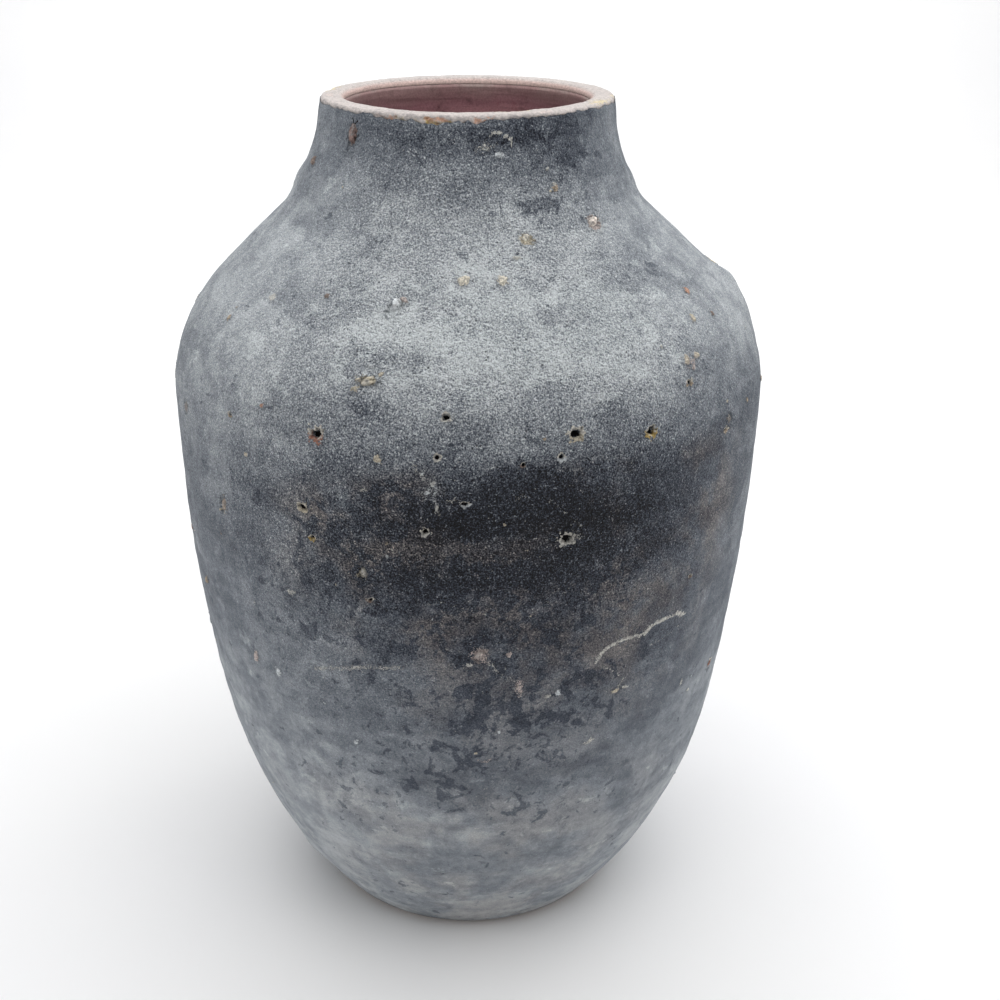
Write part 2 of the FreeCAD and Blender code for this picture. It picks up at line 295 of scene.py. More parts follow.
# Crumbs that stand out of the slip: bearing, height, half-length, half-width, lean, rise, colour.
CRUMBS = [
    (-0.9, 281.8, 2.1, 1.7, 70, 1.1, SHELL), (8.3, 281.6, 2, 1.7, 0, 1, SHELL),
    (57, 270.1, 2, 1.4, 20, 0.8, ORANGE), (52.3, 263.5, 2, 1.6, 40, 0.7, CREAM),
    (44.5, 253.5, 2.3, 1.5, 30, 0.8, CREAM), (47.7, 253.8, 2, 1.2, 100, 0.7, CREAM),
    (45.6, 251, 1.4, 1.1, 0, 0.5, PINK), (23.3, 249.1, 2.6, 2.3, 0, 0.15, WHITE),
    (-14.2, 276.3, 1.8, 1, 120, 0.8, PINK), (-14.8, 231.7, 1.7, 1.2, 110, 0.8, CREAM),
    (-5.7, 224.7, 1.5, 1.1, 20, 0.4, LIME), (-6.5, 221.6, 1.6, 0.9, 70, 0.4, WHITE),
    (-5, 216.4, 1.3, 0.9, 0, 0.4, LIME), (-7.4, 227.9, 1.2, 0.7, 40, 0.3, WHITE),
    (-38.1, 241.6, 1.3, 0.9, 90, 0.5, ORANGE), (-47.8, 271.1, 2.2, 1.5, 90, 0.25, LIME),
    (-33, 275, 1.4, 1, 0, 0.4, BROWN), (-63.7, 156.9, 2.2, 1.3, 10, 0.9, TAN),
    (-45.5, 139.4, 2.8, 1.4, 10, 0.8, PINK), (-39.2, 137.4, 2.2, 1.6, 0, 0.5, WHITE),
    (-33.1, 175.7, 2.2, 1.4, 70, 0.3, LIME), (-41.3, 223.5, 1.4, 0.9, 60, 0.4, CREAM),
    (16.6, 142, 1.6, 1.2, 0, 0.5, WHITE), (14.8, 141.2, 1.4, 0.9, 60, 0.4, LIME),
    (28.7, 136.8, 1.9, 1.1, 75, 0.5, CREAM), (31, 137.2, 1.5, 0.8, 100, 0.4, LIME),
    (7.2, 160.7, 1.3, 1, 0, 0.6, PINK), (0.2, 157, 1.8, 0.9, 90, 0.4, LIME),
    (-69.7, 309.3, 2, 1.5, 0, 1.1, BROWN), (5.8, 127, 0.9, 0.7, 0, 0.3, WHITE),
    (-22.2, 116.7, 1.6, 1, 40, 0.3, WHITE), (-13.5, 197.6, 0.9, 0.7, 0, 0.4, WHITE),
    (-17.4, 220.6, 1.5, 0.7, 80, 0.3, LIME), (24.3, 116, 2.6, 1.4, 70, 0.2, LIME),
    (48, 125.3, 2, 1.2, 0, 0.2, LIME), (62, 231, 1.2, 1, 0, 0.5, TAN),
    (29.9, 306.1, 1.5, 1.2, 30, 0.6, TAN), (10.7, 317.4, 1.9, 1.3, 70, 0.4, WHITE),
    (12.7, 287.3, 1.9, 0.8, 90, 0.5, LIME), (-20, 252, 1.6, 1.2, 60, 0.4, CREAM),
    (-15.6, 256.8, 1.3, 0.9, 20, 0.5, CREAM), (-18, 258.8, 1.6, 0.8, 90, 0.2, WHITE),
    (60, 262, 1.4, 0.9, 0, 0.7, BROWN), (-57, 262, 1.6, 1.1, 0, 0.6, TAN),
]
# Pale cracks and crumbling lines: half-width, strength, then bearings and heights along them.
SCRATCHES = [
    (0.9, 0.62, ((23.8, 152), (24.6, 155.5), (26.2, 157.4), (29, 158.8), (34, 158.2), (35.2, 160),
                 (37.4, 161), (42.6, 160.5), (45.1, 158.4))),
    (0.6, 0.42, ((24.6, 150), (28, 146.2), (30.2, 141.2), (29.4, 138.2))),
    (0.36, 0.80, ((7.6, 322.6), (8.6, 324), (10.3, 324.4), (12.9, 323.2), (15, 322.2), (15.3, 320.8),
                  (14.9, 319.9))),
    (1.2, 0.40, ((-29.6, 146.3), (-25.1, 148.7), (-20.1, 151.1), (-15, 153.1), (-11.5, 154.1))),
    (1.6, 0.30, ((3.6, 158.5), (6.1, 152.4), (9, 147.4), (9.9, 142.4))),
    (0.9, 0.34, ((-9.5, 232), (-8, 228.5), (-6.4, 224.8), (-5.5, 219.7), (-4.6, 213.7))),
    (1.6, 0.22, ((-5.8, 226.5), (-4, 221), (-5.6, 214))),
    (0.6, 0.36, ((12, 220.5), (14.6, 216), (16.6, 211.5), (19.1, 207))),
    (0.5, 0.34, ((15, 183.6), (18, 183), (21.5, 180.4), (27, 179), (34, 176.8))),
    (0.5, 0.36, ((-7, 180.6), (-4.4, 181.6), (-1.5, 180.4), (0.8, 178.6))),
    (0.8, 0.30, ((36, 152), (41, 153.6), (43.6, 155))),
    (0.6, 0.30, ((40, 278), (44, 272.5), (47, 264))),
]
# Hazes of fine lime: bearing, height, half-width and half-height in millimetres, strength, colour.
HAZES = [
    (2.1, 160.8, 4.4, 4.8, 0.42, PINK), (9.2, 146.4, 2.6, 5.4, 0.36, PINK),
    (17.8, 203.4, 5.6, 3.6, 0.28, LIME), (-5.8, 222, 5.6, 7, 0.24, WHITE),
    (-15.8, 274.3, 3.4, 2.4, 0.5, WHITE), (41.1, 294.1, 4.2, 3.8, 0.56, PINK),
    (16.8, 292, 3.4, 2.8, 0.6, CREAM), (-18.7, 254.8, 5.4, 2.2, 0.34, CREAM),
    (-28.9, 210.3, 4.2, 3.8, 0.30, CREAM), (-18.1, 189.6, 3, 2.8, 0.40, CREAM),
    (-49.6, 199, 3.2, 6.4, 0.30, TAN), (45.5, 253, 5.6, 4.2, 0.28, PINK),
    (-3.6, 245.6, 3.6, 2.4, 0.30, LIME), (3.5, 113.4, 5, 2, 0.24, PINK),
    (-2.4, 219, 4.4, 3.2, 0.2, LIME), (8.5, 219.5, 4, 2.4, 0.2, LIME),
    (-5.8, 322.6, 7, 3.4, 0.20, WHITE), (6, 320, 6, 3.2, 0.26, LIME),
    (-19, 317.6, 5, 2.6, 0.20, WHITE), (150, 160, 6, 5, 0.34, PINK),
    (205, 240, 5, 4, 0.3, CREAM), (250, 180, 4, 5, 0.3, WHITE),
]
# Lumps and dents that change the outline: bearing, height, spread, rise.
LUMPS = [
    (-73, 322, 3, 1), (-92, 300, 6, 1.3), (86, 300.5, 5, 0.8), (89, 254, 10, 1.8),
    (90, 262, 6, 2), (-88, 226, 5, 0.6), (-84, 150, 5, 0.9), (-72, 40, 9, 0.9),
    (-58, 24, 7, 1), (70, 30, 10, 0.7), (-6.6, 79.6, 13, 0.8), (-3, 248, 7, 0.7),
    (-31, 245, 10, 0.5), (24, 190, 14, -0.6), (-40, 120, 16, 0.6),
    (52, 90, 15, -0.6), (-84, 74, 15, 1.2),
]
# Lightness of the grey by height, at the sides and in the middle of the front, before black is laid on it;
# the middle of the front is darker than the sides at the belly, which is painted shade.
SIDE_TONE = {0: 0.66, 100: 0.59, 140: 0.49, 185: 0.48, 240: 0.59, 285: 0.63, 300: 0.57, 330: 0.47}
FRONT_TONE_AND_SHADE = {0: 0.61, 60: 0.55, 100: 0.48, 150: 0.39, 180: 0.30, 210: 0.19, 225: 0.35, 250: 0.65, 298: 0.68,
              308: 0.55, 330: 0.41}
# Strength of the sandy grain by height.
GRAIN = {60: 0.12, 120: 0.25, 170: 0.65, 200: 1.1, 250: 1.0, 330: 0.75}
# Broad changes of the slip: bearing, height, half-width in degrees and half-height in millimetres, then what
# they add to the lightness, to the share of black and to the share of pale crust.
CLOUDS = [
    (-2, 213, 18, 11, -0.04, 0.85, 0), (24, 212, 10, 10, -0.03, 0.2, 0), (6, 196, 18, 9, -0.02, 0.55, 0),
    (28, 216, 9, 14, 0, -0.20, 0), (-10, 184, 20, 9, -0.01, 0.55, 0), (2, 202, 14, 3.0, 0.04, -0.75, 0),
    (9, 226, 8, 7, -0.02, 0.5, 0), (4, 190, 16, 4, 0, 0.3, 0), (-2, 165, 22, 13, 0, 0.55, 0),
    (18, 180, 14, 14, 0, 0.50, 0), (14, 222, 14, 10, 0, 0.55, 0), (-24, 202, 12, 14, 0, 0.45, 0),
    (26, 206, 10, 12, 0, 0.45, 0), (0, 140, 26, 16, 0, 0.42, 0), (-6, 112, 18, 14, 0, 0.44, 0),
    (16, 128, 16, 18, 0, 0.40, 0), (-34, 165, 14, 16, 0, 0.34, 0), (34, 150, 14, 20, 0, 0.30, 0),
    (12, 84, 20, 14, 0, 0.30, 0), (-22, 92, 14, 12, 0, 0.28, 0), (2, 322, 26, 6, -0.07, 0.34, 0),
    (26, 321, 20, 8, -0.09, 0.30, 0), (-18, 321, 16, 6, -0.03, 0.30, 0), (30, 300, 14, 10, 0, 0.52, 0),
    (10, 302, 14, 5, 0, 0.30, 0), (-28, 285, 16, 12, -0.02, 0.20, 0), (36, 222, 16, 12, -0.09, 0.10, 0),
    (48, 238, 14, 14, -0.07, 0.15, 0), (44, 200, 18, 16, -0.07, 0.12, 0), (66, 232, 12, 16, -0.06, 0, 0),
    (28, 212, 12, 22, -0.04, 0, 0), (-60, 215, 18, 20, 0.01, 0.12, 0), (8, 275, 26, 16, 0, 0, 0.62),
    (-44, 262, 22, 14, 0, 0, 0.25), (34, 264, 18, 12, 0, 0, 0.50), (-12, 262, 20, 10, 0, 0, 0.45),
    (14, 257, 20, 6, 0.02, 0, 0.4), (56, 282, 14, 10, 0, 0, 0.25), (-16, 246, 12, 5, -0.04, 0.25, 0),
    (-22, 260, 12, 5, -0.04, 0.10, 0), (40, 278, 9, 6, -0.05, 0.20, 0), (-6, 79, 12, 8, 0.03, -0.3, 0.1),
    (-11, 91, 4, 3, 0.07, -0.2, 0), (-5, 84, 5, 3, 0.09, -0.2, 0), (1, 75, 5, 4, 0.10, -0.2, 0),
    (3, 67, 6, 3, 0.05, -0.3, 0), (-8, 69, 6, 2, 0.07, -0.2, 0), (120, 212, 30, 18, -0.10, 0.70, 0),
    (190, 190, 36, 20, -0.12, 0.85, 0), (240, 225, 24, 12, -0.08, 0.50, 0),
    (150, 275, 34, 14, 0, 0, 0.55), (215, 270, 30, 12, 0, 0, 0.50), (170, 318, 34, 7, -0.04, 0.60, 0),
    (130, 130, 26, 24, -0.04, 0.40, 0), (205, 120, 22, 26, -0.03, 0.35, 0),
    (255, 150, 14, 20, -0.02, 0.30, 0), (-28, 140, 14, 80, 0.04, 0, 0), (38, 110, 20, 80, -0.045, 0, 0),
    (52, 290, 16, 26, -0.05, 0, 0), (-30, 259, 10, 8, 0.07, 0, 0), (15, 200, 7, 8, -0.04, 0.2, 0),
    (60, 235, 12, 16, -0.05, 0, 0), (42, 318, 12, 10, -0.07, 0.2, 0),
]


def scattered_marks():
    """The same kinds of mark over the sides and back that the lists above leave bare."""
    random = np.random.default_rng(41)
    colours = (LIME, WHITE, CREAM, TAN, OCHRE, BRICK, BROWN)
    pale = 4
    for _ in range(22):
        bearing, height = random.uniform(78, 282), random.uniform(90, 305)
        size = random.uniform(1.0, 2.6)
        depth = size * random.uniform(0.5, 0.9)
        PITS.append((bearing, height, size, depth, colours[random.integers(len(colours))]))
    for _ in range(46):
        bearing, height = random.uniform(72, 288), random.uniform(40, 318)
        size = random.uniform(0.9, 2.4)
        CRUMBS.append((bearing, height, size, size * random.uniform(0.5, 0.9), random.uniform(0, 180),
                       random.uniform(0.3, 0.9), colours[random.integers(len(colours))]))
    for _ in range(34):
        bearing, height = random.uniform(-75, 75), random.uniform(60, 318)
        size = random.uniform(0.5, 1.0)
        CRUMBS.append((bearing, height, size, size * random.uniform(0.6, 0.9), random.uniform(0, 180),
                       random.uniform(0.2, 0.5), colours[random.integers(pale)]))
    for _ in range(9):
        LUMPS.append((random.uniform(100, 260), random.uniform(30, 300), random.uniform(6, 16),
                      random.uniform(-0.7, 0.8)))


scattered_marks()
OUTSIDE = outline(0)


def on_surface(bearing, height):
    """The plain outside's point that the lean carries to a place, with its tangents across and up."""
    radius = np.interp(height, OUTSIDE[:, 1], OUTSIDE[:, 0])
    bearing = bearing - np.degrees(lean_at(height)[0] * np.cos(np.radians(bearing)) / radius)
    rise = np.interp(height + 1, OUTSIDE[:, 1], OUTSIDE[:, 0]) - radius
    turn = np.radians(bearing)
    across = np.array((np.cos(turn), np.sin(turn), 0))
    up = np.array((np.sin(turn) * rise, -np.cos(turn) * rise, 1))
    return around(np.array([bearing]), radius, height)[0], across, up / np.linalg.norm(up)


def turned(across, up, lean):
    """Offsets along and beside a mark that leans from upright by some degrees."""
    turn = np.radians(lean)
    return up * np.cos(turn) + across * np.sin(turn), across * np.cos(turn) - up * np.sin(turn)


class Relief:
    """Adds up how far each point of the outside is raised, what colour marks it carries, and where painted
    shade darkens its craters and crevices.
    """

    def __init__(self, points):
        self.points = points
        self.rise = np.zeros(len(points))
        self.cover = np.zeros(len(points))
        self.hole_shade = np.zeros(len(points))
        self.colour = np.tile(np.array(LIME), (len(points), 1))
        self.ragged = layered_noise(points, 0.9, 2, 71)

    def near(self, bearing, height, reach):
        """Indices of the points near a place, with their offsets across and up in the surface."""
        centre, across, up = on_surface(bearing, height)
        offset = self.points - centre
        found = np.flatnonzero((offset**2).sum(axis=1) < reach**2)
        return found, offset[found] @ across, offset[found] @ up

    def paint(self, found, amount, colour):
        """Lay a colour on points, the strongest cover winning."""
        amount = np.clip(amount, 0, 1)
        self.cover[found] = np.maximum(self.cover[found], amount)
        share = (amount / np.maximum(self.cover[found], 0.02)) ** 2
        self.colour[found] += (np.array(colour) - self.colour[found]) * share[:, None]

    def pit(self, bearing, height, radius, depth, colour):
        """A small crater: its middle painted near-black as painted shade, a thin pale lime lip that is
        brightest above it as a painted highlight, and crumbling colour below.
        """
        found, across, up = self.near(bearing, height, radius * 3)
        far = np.hypot(across, up * 1.15) / radius * (1 + 0.6 * self.ragged[found])
        self.rise[found] -= depth * smooth(far, 0.90, 0.50)
        self.rise[found] += 0.40 * bell(far, 1.2, 0.28)
        self.paint(found, bell(far, 1.0, 0.34) * smooth(up / radius, 1.1, -0.6), colour)
        # The crater's pale lime rim, made strongest on its upper side as a painted highlight.
        rim_lime_and_highlight = bell(far, 1.05, 0.2) * smooth(up / radius + self.ragged[found], -0.7, 0.3)
        self.paint(found, 1.3 * rim_lime_and_highlight, RIM_LIME_AND_HIGHLIGHT)
        # Where the material paints the crater's middle near-black: painted shade.
        self.hole_shade[found] = np.maximum(self.hole_shade[found], smooth(far, 0.95, 0.30))

    def socket(self, bearing, height, half_length, half_width, lean, shade_darkness):
        """A broken crevice round a stone, painted dark as painted shade, darkest on one side."""
        found, across, up = self.near(bearing, height, half_length * 2.5)
        along, beside = turned(across, up, lean)
        far = np.hypot(along / half_length, beside / half_width) * (1 + 0.5 * self.ragged[found])
        self.rise[found] -= 0.9 * smooth(far, 1.2, 0.8)
        self.rise[found] += 0.35 * bell(far, 1.4, 0.3)
        # The crevice's painted shade is strongest on its upper right.
        side = smooth(across + up + 1.5 * self.ragged[found], -0.5, half_width)
        self.hole_shade[found] = np.maximum(self.hole_shade[found], shade_darkness * smooth(far, 1.22, 1.05) * side)

    def haze(self, bearing, height, half_width, half_height, strength, colour):
        """Fine lime scattered over a patch of the slip."""
        found, across, up = self.near(bearing, height, max(half_width, half_height) * 2)
        far = np.hypot(across / half_width, up / half_height) * (1 + 0.3 * self.ragged[found])
        self.paint(found, 1.5 * strength * smooth(far, 1.3, 0.1), colour)

    def crumb(self, bearing, height, half_length, half_width, lean, rise, colour):
        """A crumb of clay or lime that stands out of the slip; the flatter, the fainter."""
        found, across, up = self.near(bearing, height, half_length * 2.6)
        along, beside = turned(across, up, lean)
        far = np.hypot(along / half_length, beside / half_width) * (1 + 0.4 * self.ragged[found])
        self.rise[found] += rise * smooth(far, 1.15, 0.35) - 0.22 * bell(far, 1.45, 0.28)
        self.paint(found, (0.42 + 0.5 * rise) * smooth(far, 1.4, 0.3), colour)

    def scratch(self, half_width, strength, route):
        """A pale broken line through places on the surface."""
        for (bearing, height), (next_bearing, next_height) in zip(route, route[1:]):
            start, *_ = on_surface(bearing, height)
            end, *_ = on_surface(next_bearing, next_height)
            way = end - start
            offset = self.points - start
            part = np.clip(offset @ way / (way @ way), 0, 1)
            away = np.sqrt(((offset - part[:, None] * way) ** 2).sum(axis=1))
            found = np.flatnonzero(away < half_width * 4)
            far = away[found] / half_width * (1 + 0.7 * self.ragged[found])
            self.rise[found] += 0.16 * smooth(far, 1.4, 0.3)
            self.paint(found, strength * smooth(far, 1.5, 0.4), LIME)

    def lump(self, bearing, height, spread, rise):
        """A broad rise or dent in the wall."""
        centre, *_ = on_surface(bearing, height)
        away = ((self.points - centre) ** 2).sum(axis=1) / spread**2
        self.rise += rise * np.exp(-away)


def stone_islands():
    """Each stone of the design: its centre and its three half-axes, longest first."""
    mesh = bmesh.new()
    mesh.from_mesh(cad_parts["grit_stones"].data)
    bmesh.ops.remove_doubles(mesh, verts=mesh.verts, dist=1e-6)
    left, islands = set(mesh.verts), []
    while left:
        island, edge_of = set(), [next(iter(left))]
        while edge_of:
            vertex = edge_of.pop()
            if vertex not in island:
                island.add(vertex)
                edge_of += [edge.other_vert(vertex) for edge in vertex.link_edges]
        left -= island
        points = np.array(sorted(vertex.co[:] for vertex in island)) / MM
        centre = (points.min(0) + points.max(0)) / 2
        axes = np.linalg.svd(points - centre, full_matrices=False)[2]
        islands.append((centre, axes * np.abs((points - centre) @ axes.T).max(0)[:, None]))
    mesh.free()
    return sorted(islands, key=lambda island: tuple(np.round(island[0], 2)))


STONES = stone_islands()
# What each stone looks like, by bearing and height: its colour, and how far it has sunk into the wall.
STONE_LOOKS = [
    (-46, 322, (0.20, 0.135, 0.12), 0.1), (41, 295, (0.90, 0.80, 0.72), 1.1),
    (17, 293, (0.95, 0.88, 0.74), 1.5), (-16, 275, (0.72, 0.75, 0.77), 1.1),
    (-18, 255, (0.50, 0.45, 0.35), 1.0), (-64, 228, (0.20, 0.18, 0.17), 0.5),
    (-50, 200, (0.30, 0.25, 0.21), 0.7), (-18, 191, (0.34, 0.32, 0.28), 0.8),
    (54, 230, (0.22, 0.20, 0.18), 0.5), (2, 162, (0.56, 0.50, 0.47), 0.9), (128, 250, BROWN, 0.3),
    (171, 188, TAN, 0.5), (-142, 118, BRICK, 0.4), (-108, 276, (0.30, 0.26, 0.22), 0.5),
]
# How far the stones sit above the design's places, to follow the photograph; below, where it is negative.
STONE_RISE = -1.1


def bearing_gap(bearing, other):
    """Degrees from one bearing to another, from -180 to 180."""
    return (bearing - other + 180) % 360 - 180


def settled_stones():
    """Each stone where the leaning wall has carried it, sunk as it looks: centre, axes and colour."""
    stones = []
    for centre, axes in STONES:
        bearing = np.degrees(np.arctan2(centre[0], -centre[1]))
        look = min(STONE_LOOKS, key=lambda row: abs(bearing_gap(row[0], bearing)) + abs(row[1] - centre[2]))
        outwards = centre * (1, 1, 0) / np.hypot(*centre[:2])
        right, back = lean_at(centre[2])
        stones.append((centre + (-right, -back, STONE_RISE) - look[3] * outwards, axes, look[2]))
    return stones


def stone_places():
    """The same stones as (bearing, height, half-length, half-width, lean) on the outside."""
    places = []
    for centre, axes in STONES:
        bearing = np.degrees(np.arctan2(centre[0], -centre[1]))
        _, across, up = on_surface(bearing, centre[2])
        lean = np.degrees(np.arctan2(axes[0] @ across, axes[0] @ up))
        size = np.linalg.norm(axes[0]), np.linalg.norm(axes[1])
        places.append((bearing, centre[2] + STONE_RISE, *size, lean))
    return places


def paint_plan(points):
    """Lightness, share of black left, share of pale crust, strength of grain and warmth at each point."""
    height = points[:, 2]
    turn = np.degrees(turn_of(points))
    plans = (SIDE_TONE, FRONT_TONE_AND_SHADE, GRAIN)
    side, front, grain = (np.interp(height, list(plan), list(plan.values())) for plan in plans)
    # Towards the front's middle the lightness moves to the front's table, whose darker belly is painted
    # shade.
    tone = side + (front - side) * bell(turn, 5, 38)
    black, crust = np.full(len(points), -0.22), np.full(len(points), -0.25)
    for bearing, level, half_width, half_height, change, blacker, crustier in CLOUDS:
        across = bearing_gap(turn, bearing)
        weight = np.exp(-((across / half_width) ** 2) - ((height - level) / half_height) ** 2)
        tone += change * weight
        black += blacker * weight
        crust += crustier * weight
    tone += 0.025 * layered_noise(points * (1, 1, 2.2), 46, 4, 11)
    black += 0.14 * layered_noise(points * (1, 1, 1.5), 24, 3, 15)
    crust += 0.25 * layered_noise(points * (1, 1, 1.8), 28, 3, 17)
    grain *= 0.45 + 0.55 * np.exp(-(((turn - 2) / 42) ** 4))
    warmth = 0.9 * smooth(tone, 0.48, 0.34) * smooth(height, 238, 218)
    warmth += 0.28 * smooth(height, 120, 80) * bell(turn, 5, 40)
    return tone, np.clip(black, -0.4, 1.1), np.clip(crust, -0.4, 0.8), grain, warmth


# ---------------------------------------------------------------- the outer slip coat
def refine_near(mesh_points, mesh_faces, spots, cuts):
    """Split the edges near marks; the points are (column, row) places of the grid, not places on the pot."""
    mesh = bmesh.new()
    corners = [mesh.verts.new(point) for point in mesh_points]
    mesh.verts.index_update()
    for face in mesh_faces:
        mesh.faces.new([corners[number] for number in face])
    mesh.verts.ensure_lookup_table()
    edges = [edge for edge in mesh.edges if spots[edge.verts[0].index] and spots[edge.verts[1].index]]
    bmesh.ops.subdivide_edges(mesh, edges=edges, cuts=cuts, use_grid_fill=True)
    mesh.verts.index_update()
    points = np.array([vertex.co[:] for vertex in mesh.verts])
    faces = [[vertex.index for vertex in face.verts] for face in mesh.faces]
    mesh.free()
    return points, faces


SLIP_BOTTOM, SLIP_TOP = 2.0, 328.1
COLUMNS, ROWS, BACK_ROWS = 560, 350, 60
EDGE_THINNING = 0.42
DEEPEST_PIT = -2.3
# Chips along the lip: bearing, radius and height of the middle, half-width along it, size, depth, colour.
CHIPS = [
    (-17.5, 54.1, 326.6, 1.8, 1.2, 0.3, TAN), (-13.2, 54.2, 326.3, 3.2, 1.7, 0.5, OCHRE),
    (-8.6, 54.2, 326.8, 2.4, 1.2, 0.4, TAN), (-5, 54.2, 326.7, 1.6, 1, 0.4, OCHRE),
    (-1.4, 54.1, 326.9, 1.2, 1, 0.3, TAN), (3.8, 54, 327.2, 2.6, 1.4, 0.3, ORANGE),
    (-33, 53.8, 327.8, 3.4, 1.2, 0.4, PINK), (-29, 53.8, 327.6, 2.2, 1, 0.3, ORANGE),
    (-11, 53.6, 328.4, 3, 0.7, 0.2, ORANGE), (-24, 54, 327.2, 2.6, 1, 0.4, CREAM),
    (27, 54, 327.2, 3, 0.9, 0.3, CREAM), (38, 53.9, 327.6, 3.4, 0.9, 0.3, PINK),
    (30, 52, 329.7, 2.4, 1, 0.2, PINK), (64, 50.8, 329.8, 5, 1.8, 0.2, STRAW),
    (22, 46.6, 329.6, 5, 1.2, 0.2, STRAW), (-104, 52.4, 329.4, 5, 1.5, 0.3, STRAW),
    (-85, 50, 329.8, 3, 1.4, 0.2, PINK), (84, 52.4, 329.5, 3.4, 1.2, 0.3, CREAM),
    (150, 53.8, 327.4, 3, 1.2, 0.5, CREAM), (-165, 53.6, 328.4, 4.2, 1.2, 0.3, STRAW),
    (118, 53.8, 327.2, 2.6, 1.2, 0.5, TAN), (-128, 53.8, 327.6, 2.2, 1.2, 0.5, CREAM),
]


def slip_edge(bearing):
    """How far the ragged top of the slip stands above or below its level; chips in the lip take it down."""
    ring = around(bearing, LIP_RADIUS, 0.0)
    level = 0.8 * layered_noise(ring, 22, 3, 5) + 0.9 * layered_noise(ring, 2.6, 3, 9)
    level += 0.3 + 0.7 * smooth(bearing, 5, 25) * smooth(bearing, 80, 60)
    for chip_bearing, _, chip_height, half_width, size, _, _ in CHIPS:
        along = np.radians(bearing_gap(bearing, chip_bearing)) * LIP_RADIUS / half_width
        level += 0.5 * min(chip_height - size - SLIP_TOP + 0.5, 0) * np.exp(-(along**4))
    return level


def backing(height):
    """Depth of the coat's hidden back, clear of the deepest pits; thin where the lip shows above it."""
    return SLIP + 2.0 * smooth(height, 322, 316)


def slip_section():
    """Closed section of the coat: up the outside, thinning at its top edge, and down against the clay."""
    front = between(OUTSIDE, SLIP_BOTTOM, SLIP_TOP, ROWS)
    front[:, 0] -= EDGE_THINNING * smooth(front[:, 1], SLIP_TOP - 4, SLIP_TOP)
    back = between(OUTSIDE, SLIP_BOTTOM, SLIP_TOP - 0.4, BACK_ROWS)[::-1]
    back -= section_normals(back[::-1], closed=False)[::-1] * backing(back[:, 1])[:, None]
    back[:, 1] = np.clip(back[:, 1], SLIP_BOTTOM, SLIP_TOP - 0.4)
    return np.concatenate((front, back))


def slip_coat():
    """The whole black coat, with its marks cut and raised in it and its colours stored at its points."""
    section = slip_section()
    normals = section_normals(section, closed=True)
    row, column = np.meshgrid(np.arange(len(section)), np.arange(COLUMNS), indexing="ij")
    places = np.column_stack((column.ravel(), row.ravel(), np.zeros(row.size)))

    def spread(places):
        """Where each (column, row) place lies on the plain coat, and its outward normal."""
        bearing = places[:, 0] * 360 / COLUMNS - 180
        rows = np.arange(len(section))
        radius, height = (np.interp(places[:, 1], rows, section[:, side]) for side in (0, 1))
        normal = np.column_stack([np.interp(places[:, 1], rows, normals[:, side]) for side in (0, 1)])
        return around(bearing, radius, height), around(bearing, normal[:, 0], normal[:, 1]), bearing

    points, _, _ = spread(places)
    spots = np.zeros(len(points), bool)
    for marks, share, margin in ((PITS, 1.9, 1.5), (CRUMBS, 1.6, 1.2), (stone_places(), 1.5, 1.5)):
        for bearing, height, size, *_ in marks:
            away = ((points - on_surface(bearing, height)[0]) ** 2).sum(axis=1)
            spots |= away < (size * share + margin) ** 2
    spots &= (places[:, 1] < ROWS - 1) & (places[:, 1] > 0)
    spots &= (places[:, 0] > 0) & (places[:, 0] < COLUMNS - 1)
    places, faces = refine_near(places, grid_faces(len(section), COLUMNS), spots, 3)

    points, normal, bearing = spread(places)
    outside = places[:, 1] <= ROWS - 1
    relief = Relief(points)
    for lump in LUMPS:
        relief.lump(*lump)
    for place in stone_places():
        # How strong the painted shade in each stone's crevice is: deep for the pebble at the neck, faint for
        # the rest.
        relief.socket(*place, 0.8 if place[1] > 310 else 0.3)
    for pit in PITS:
        relief.pit(*pit)
    for crumb in CRUMBS:
        relief.crumb(*crumb)
    for scratch in SCRATCHES:
        relief.scratch(*scratch)
    for haze in HAZES:
        relief.haze(*haze)
    rings = 0.22 * layered_noise(points * (0.35, 0.35, 2.6), 16, 3, 21)
    rings += 0.30 * layered_noise(points, 30, 3, 25)
    grain = 0.10 * layered_noise(points, 3.4, 2, 31)
    rise = np.maximum(relief.rise + rings + grain - 0.35, DEEPEST_PIT) * outside
    top = smooth(points[:, 2], SLIP_TOP - 9, SLIP_TOP)
    raise_edge = slip_edge(bearing) * top
    moved = points + normal * (rise * (1 - 0.8 * top))[:, None]
    moved[:, 2] += raise_edge
    piece = new_object("slip_skin", inside_box(handmade(moved)), faces)
    for name, values in zip(("tone", "black", "crust", "grain", "warmth"), paint_plan(points)):
        point_value(piece, name, values)
    point_value(piece, "mark", relief.cover * outside)
    # Painted shade of the craters and crevices, for the material to darken.
    point_value(piece, "hole_shade", relief.hole_shade * outside)
    point_colour(piece, "mark_colour", relief.colour)
    return piece


# ---------------------------------------------------------------- lip, lining, wall sections and stones
LIP_COLUMNS, LINING_COLUMNS, SECTION_COLUMNS = 900, 360, 240
LIP_LOW, LINING_TOP = 313.0, 327.3
BARE_CLAY, LINING_EDGE, DUST = (0.50, 0.455, 0.435), (0.60, 0.45, 0.41), (0.16, 0.155, 0.16)
FIRED_CLAY, SOOT, STONE_DUST = (0.30, 0.235, 0.205), (0.10, 0.095, 0.10), (0.36, 0.36, 0.36)


def tinted(colour, other, amount):
    """Colours moved towards another one by an amount at each point."""
    return colour + (np.array(other) - colour) * amount[:, None]


def rounded_corner(centre, radius, start, stop, count):
    """Points of an arc between two angles in degrees."""
    angle = np.radians(np.linspace(start, stop, count))
    return np.column_stack((centre[0] + radius * np.cos(angle), centre[1] + radius * np.sin(angle)))


